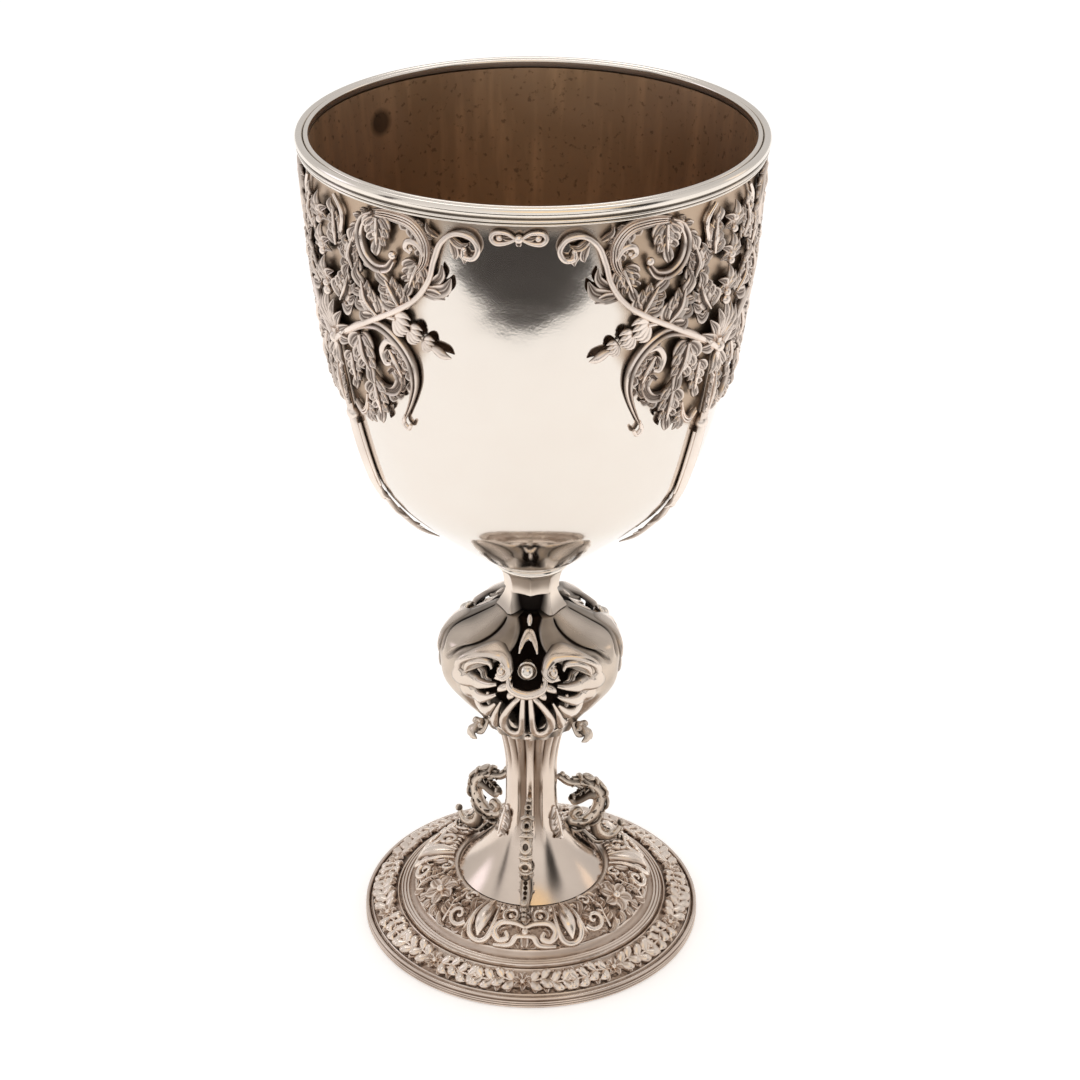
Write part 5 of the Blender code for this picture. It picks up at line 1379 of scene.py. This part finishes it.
def mount_half():
    """The right half of a mount, drawn flat in (across, height): scrolls first, then leaves and buds."""
    long_stem = [(1.5, 173.2), (9, 178), (18, 183), (25, 187), (30.5, 191), (34, 196), (35.5, 201),
                 (37.2, 205.2), (40.2, 207.6), (43.6, 207.2), (45.2, 204.8), (44.2, 202.5), (42.2, 202.6),
                 (42.0, 204.2)]
    crook = [(20.6, 208.3), (17.5, 206.4), (15.9, 202.6), (16.8, 198.5), (19.8, 196.1), (23.3, 196.5),
             (25.4, 199.0)]
    low_scroll = [(24, 160), (26.6, 165), (28.2, 170), (27.6, 175), (24.4, 179.4), (19.6, 181.8), (14, 180.6),
                  (8, 177.2), (3.2, 173.8)]
    low_curl = [(15.6, 169.4), (18.4, 166.4), (22.0, 166.6), (24.0, 169.6), (22.6, 172.0), (20.9, 170.8)]
    canopy = [(20.6, 208.6), (25.4, 209.0), (30.4, 208.2), (33.2, 204.6), (33.0, 200.0), (30.2, 196.0)]
    half = [
        swept(flat(long_stem, 1.25), (0.75, 0.75, 0.7, 0.65, 0.6, 0.6, 0.45),
              (0.7, 0.7, 0.7, 0.65, 0.6, 0.5)),
        bead(42.2, 204.3, 0.62, 1.2, 0.8),
        swept(flat(crook, 1.1), (0.7, 1.0, 1.15, 1.2, 1.1, 0.7), (0.6, 0.75, 0.8, 0.75, 0.6), GROOVED),
        bead(25.3, 200.0, 1.0, 1.2, 0.85),
        swept(flat(low_scroll, 1.0), (0.25, 0.6, 0.95, 1.2, 1.25, 1.15, 0.9, 0.7),
              (0.4, 0.65, 0.75, 0.8, 0.75, 0.7), GROOVED),
        swept(flat([(24.4, 178.2), (21.4, 178.6), (19.4, 175.9), (20.3, 173.0), (22.2, 173.4)], 0.9),
              (0.4, 0.75, 0.8, 0.7, 0.4), (0.5, 0.6, 0.5)),
        swept(flat(low_curl, 1.0), (0.3, 0.95, 1.2, 1.1, 0.9, 0.5), (0.5, 0.7, 0.7, 0.5), CUPPED),
        swept(flat([(7.2, 209.0), (9.8, 205.4), (9.0, 200.6), (11.2, 196.4)], 0.7), (0.4, 0.6, 0.6, 0.4),
              (0.5, 0.6, 0.5)),
    ]
    leaves = (
        ((39.0, 206.6), (43.0, 205.4), 1.7, -0.2, 0.4, 1.0, 0.4),
        ((39.2, 205.2), (39.8, 201.6), 2.0, 0.2, 0.4, 1.1, 0.5),
        ((40.3, 204.6), (42.0, 200.8), 1.9, 0.2, 0.4, 1.1, 0.5),
        ((32.6, 193.4), (39.0, 197.0), 3.2, -0.2, 0.6, 1.3, 0.5),
        ((32.0, 192.4), (37.4, 191.8), 2.8, 0.15, 0.5, 1.2, 0.5),
        ((33.6, 194.8), (36.9, 199.8), 2.2, -0.2, 0.5, 1.1, 0.5),
        ((36.4, 206.2), (33.9, 209.0), 1.3, 0.15, 0.5, 0.9, 0.3),
    )
    half += [petal(*leaf) for leaf in leaves]
    half.append(swept(flat([(18.6, 183.6), (21.6, 184.6), (24.6, 184.8)], 0.9), (0.4, 0.5, 0.6),
                      (0.5, 0.5, 0.5)))
    half += band(canopy, (0.8, 1.35, 1.5, 1.45, 1.2, 0.4), 3, 0.75)
    half += [swept(flat([(33.1, 201.4), (31.6, 203.7), (29.4, 204.0), (28.6, 202.4), (30.0, 201.5)], 1.0),
                   (0.4, 0.7, 0.75, 0.6, 0.4), (0.5, 0.6, 0.5)), bead(30.2, 202.5, 0.55, 1.2)]
    frills = (
        (crook[:5], 2.6, -1, 6, 0.5),
        (canopy[1:], 2.2, 1, 6, 0.4),
        (canopy[1:5], 2.8, -1, 5, 0.4),
        (low_scroll[1:6], 2.4, 1, 6, 0.5),
        (low_curl[:4], 2.4, -1, 5, 0.4),
    )
    for edge_of, reach, edge, count, out in frills:
        half += frilled(edge_of, reach, edge, count, out)
    broad_leaves = (
        (((21.4, 207.6), (21.6, 204.6), (21.0, 201.4)), 3.5, 0.5, 1.1),
        (((31.4, 199.0), (30.4, 196.4), (29.0, 193.4)), 3.0, 0.5, 1.0),
        (((26.0, 188.0), (24.8, 190.8), (22.6, 193.6)), 3.8, 0.5, 1.2),
        (((19.0, 184.2), (16.4, 187.4), (15.0, 191.4)), 4.3, 0.5, 1.3),
        (((12.6, 193.2), (12.0, 197.0), (13.4, 201.0)), 3.4, 0.5, 1.1),
        (((6.0, 184.0), (9.0, 187.4), (10.2, 191.0)), 4.0, 0.5, 1.2),
        (((6.4, 197.2), (7.2, 201.0), (6.4, 205.4)), 3.0, 0.4, 1.0),
        (((12.2, 177.4), (13.4, 173.4), (14.6, 169.4)), 4.2, 0.5, 1.2),
        (((15.4, 166.6), (16.4, 163.0), (16.2, 159.2)), 3.4, 0.5, 1.1),
        (((7.4, 171.4), (8.2, 168.0), (7.6, 164.6)), 3.0, 0.4, 1.0),
        (((21.8, 176.6), (24.0, 173.6), (24.8, 170.4)), 2.3, 0.3, 0.9),
    )
    for spine, size, out, lift in broad_leaves:
        half += acanthus(spine, size, 2, out, lift)
    half.append(swept(flat([(24.2, 161.0), (23.4, 158.8), (24.6, 157.6), (25.6, 158.8)], 0.9),
                      (0.3, 0.6, 0.6, 0.4), (0.4, 0.6, 0.4)))
    half += bud((24.0, 185.0), (38.2, 178.0), 3, 3.3)
    rays = ((-70, 4.2), (-45, 4.9), (-18, 4.6), (8, 4.0))
    half += fan((9.8, 159.2), 0.5, rays, 1.9, 0.1, 0.4, 1.3, 0.4, CUPPED, 0.5)
    half += band([(4.6, 158.4), (7.4, 156.6), (10.2, 158.6), (11.8, 163.2)], (0.5, 0.9, 0.8, 0.3), 2, 0.6)
    return half


def mount_casting():
    """A whole mount: both halves, and the spire with its star of leaves and three small palmettes."""
    half = mount_half()
    spire = [
        swept(flat([(0, 175.0), (0, 168), (0, 161), (0, 153.4)], 0.9), (0.9, 1.2, 1.3, 1.5),
              (0.7, 0.8, 0.9, 0.8)),
        bead(0.0, 184.2, 1.3, 1.1, 0.9), bead(0.0, 203.6, 0.9, 1.2), bead(0.0, 195.0, 1.0, 1.3),
        bead(0.0, 172.8, 1.5, 1.1, 0.9),
    ]
    star = ((8, 8.6), (30, 9.6), (52, 9.4), (74, 9.6), (90, 10.6), (106, 9.6), (128, 9.4), (150, 9.6),
            (172, 8.6))
    spire += fan((0.0, 173.6), 1.2, star, 2.7, 0.0, 0.6, 1.9, 0.6, CUPPED, 0.55)
    under_star = ((-120, 6.4), (-90, 6.4), (-60, 6.4))
    spire += fan((0.0, 172.6), 1.0, under_star, 2.3, 0.0, 0.8, 1.9, 0.5, CUPPED, 0.5)
    palmette = ((14, 4.2), (46, 5.4), (90, 6.6), (134, 5.4), (166, 4.2))
    for foot in (186.0, 193.6, 201.0):
        for k, ray in enumerate(palmette):
            spire += fan((0.0, foot), 0.6, (ray,), 2.3, 0.3 - 0.15 * k, 0.7, 1.7, 0.7, CUPPED, 0.55)
        spire.append(bead(0.0, foot, 1.0, 1.3, 0.9))
    spire += acanthus([(0.0, 157.0), (0.0, 162.0), (0.0, 167.0)], 2.6, 3, 1.0, 0.9, 0.2)
    return bent_to(half + [mirrored(part) for part in half] + spire, on_bowl)


in_threes("foliate_mount", mount_casting(), 60.0, MOUNT_SILVER, "chased_silver", "foliage_mount")


# Bowl drops
# Below each mount a smooth cast bar runs down the bowl, with a fine raised line on either side, and
# ends in pairs of leaf tips round a long one. It is soldered on the bowl under the mount's spire.


def drop_casting():
    """A drop, drawn flat in (across, height) from its top bead down."""
    parts = [
        swept(flat([(0, 154.0), (0, 150), (0, 140), (0, 131.5)], 0.95), (1.4, 1.9, 1.9, 1.4),
              (0.7, 1.0, 1.0, 0.8)),
        bead(0.0, 153.4, 1.9, 0.7, 0.8),
        bead(0.0, 131.0, 1.2, 0.9, 0.8),
        petal((0.0, 129.8), (0.0, 116.6), 2.9, 0.0, 0.7, 1.3, 0.8, CUPPED, 0.6),
    ]
    half = [
        swept(flat([(1.9, 151.2), (2.0, 144), (1.6, 134)], 0.4), (0.3, 0.4, 0.25), (0.4, 0.45, 0.3)),
        petal((0.5, 131.0), (2.9, 124.6), 2.3, -0.2, 0.6, 1.3, 0.6, CUPPED, 0.5),
        petal((0.4, 126.4), (2.1, 120.6), 1.9, -0.2, 0.6, 1.1, 0.5, CUPPED, 0.5),
        petal((0.8, 134.4), (2.7, 130.2), 1.5, -0.2, 0.5, 1.0, 0.4, DOMED, 0.4),
    ]
    return bent_to(parts + half + [mirrored(part) for part in half], on_bowl)


in_threes("bowl_drop", drop_casting(), 60.0, CAST_SILVER, "cast_silver", "bowl_drop")


# Rim clasps
# A small cast ribbon bow under the rim, at the middle of each panel. A bead ties its two loops, and it
# is soldered on the bowl.
CLASP_HEIGHT = 207.3


def clasp_casting():
    """A clasp, drawn flat in (across, height)."""
    middle = CLASP_HEIGHT
    loop = [(0.7, middle), (2.6, middle + 1.2), (4.9, middle + 1.2), (5.7, middle - 0.1), (4.6, middle - 1.2),
            (2.6, middle - 1.0), (0.8, middle - 0.2)]
    half = [swept(flat(loop, 0.8), (0.35, 0.5, 0.55, 0.5, 0.35), (0.4, 0.6, 0.6, 0.5)),
            bead(4.0, middle, 0.75, 0.7, 0.8),
            petal((1.2, middle), (3.4, middle + 0.1), 1.0, 0.0, 0.6, 1.0, 0.3)]
    parts = [bead(0.0, middle, 1.0, 0.9, 0.9),
             petal((0.0, middle - 0.6), (0.0, middle - 1.7), 1.3, 0.0, 0.5, 1.0, 0.3)]
    return bent_to(parts + half + [mirrored(part) for part in half], on_bowl)


in_threes("rim_clasp", clasp_casting(), 0.0, MOUNT_SILVER, "cast_silver", "rim_clasp")


# Tie rod
# A steel rod through the hollow stem, which clamps the castings between the bowl and the foot. Its
# thread, nut and washer show under the foot only.
ROD_RADIUS = 2.4
THREAD_STEP = 0.35            # from a crest of the thread to the next groove
NUT_BASE = 7.3
NUT_TOP = 10.1
NUT_FLATS = 4.33              # from the middle to a flat
NUT_CORNER = 4.75             # to where its corners are rounded off
NUT_CHAMFER = 0.35
# Dull grey and a little rusty, which sets it off from the silver as a working part.
STEEL = silver("plain_steel", "9A9894", "4E4A46", 0.32, wear=0.8, worked=0.0)


def threaded_rod():
    """The rod, as long as its solid, with a thread where the nut sits."""
    low, high = (corner[2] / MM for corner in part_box("tie_rod"))
    turns = np.arange(low + 0.8, NUT_BASE + 4.0, THREAD_STEP)
    outline = [(0.0, low), (1.8, low), (2.1, low + 0.4)]
    outline += [(ROD_RADIUS - 0.25 * (i % 2), z) for i, z in enumerate(turns)]
    outline += [(ROD_RADIUS, turns[-1] + 0.5), (ROD_RADIUS, high), (0.0, high)]
    shade = [0.3, 0.1, 0.1] + [0.8 * (i % 2) for i in range(len(turns))] + [0.3, 0.3, 0.3]
    dressed(turned("threaded_rod", outline, shade, STEEL, 48, closed=False), "steel", "tie_rod")


def hexagon_nut():
    """The nut, with its corners rounded off at both ends."""
    azimuths = np.linspace(0, math.tau, 96, endpoint=False)
    flats = NUT_FLATS / np.cos((azimuths + math.pi / 6) % (math.pi / 3) - math.pi / 6)
    rounded = np.minimum(flats, NUT_CORNER)
    bore = np.full(len(azimuths), ROD_RADIUS + 0.3)
    rows = np.vstack((bore, rounded, flats, flats, rounded, bore))
    levels = np.array((NUT_BASE, NUT_BASE, NUT_BASE + NUT_CHAMFER, NUT_TOP - NUT_CHAMFER, NUT_TOP, NUT_TOP))
    grid_piece("hexagon_nut", rows, levels, azimuths, STEEL, 0 * rows + 0.15, "steel", "tie_nut")


def washer():
    """The washer, as big as its solid, with one edge rounded."""
    low, high = (corner[2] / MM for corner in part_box("tie_washer"))
    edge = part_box("tie_washer")[1][0] / MM
    bore = ROD_RADIUS + 0.3
    section = [(bore, low), (edge - 0.3, low), (edge, low + 0.3), (edge, high), (bore, high)]
    dressed(moulding("steel_washer", section, [0.3, 0.0, 0.1, 0.3, 0.5], STEEL, 96), "steel", "tie_washer")


threaded_rod()
hexagon_nut()
washer()
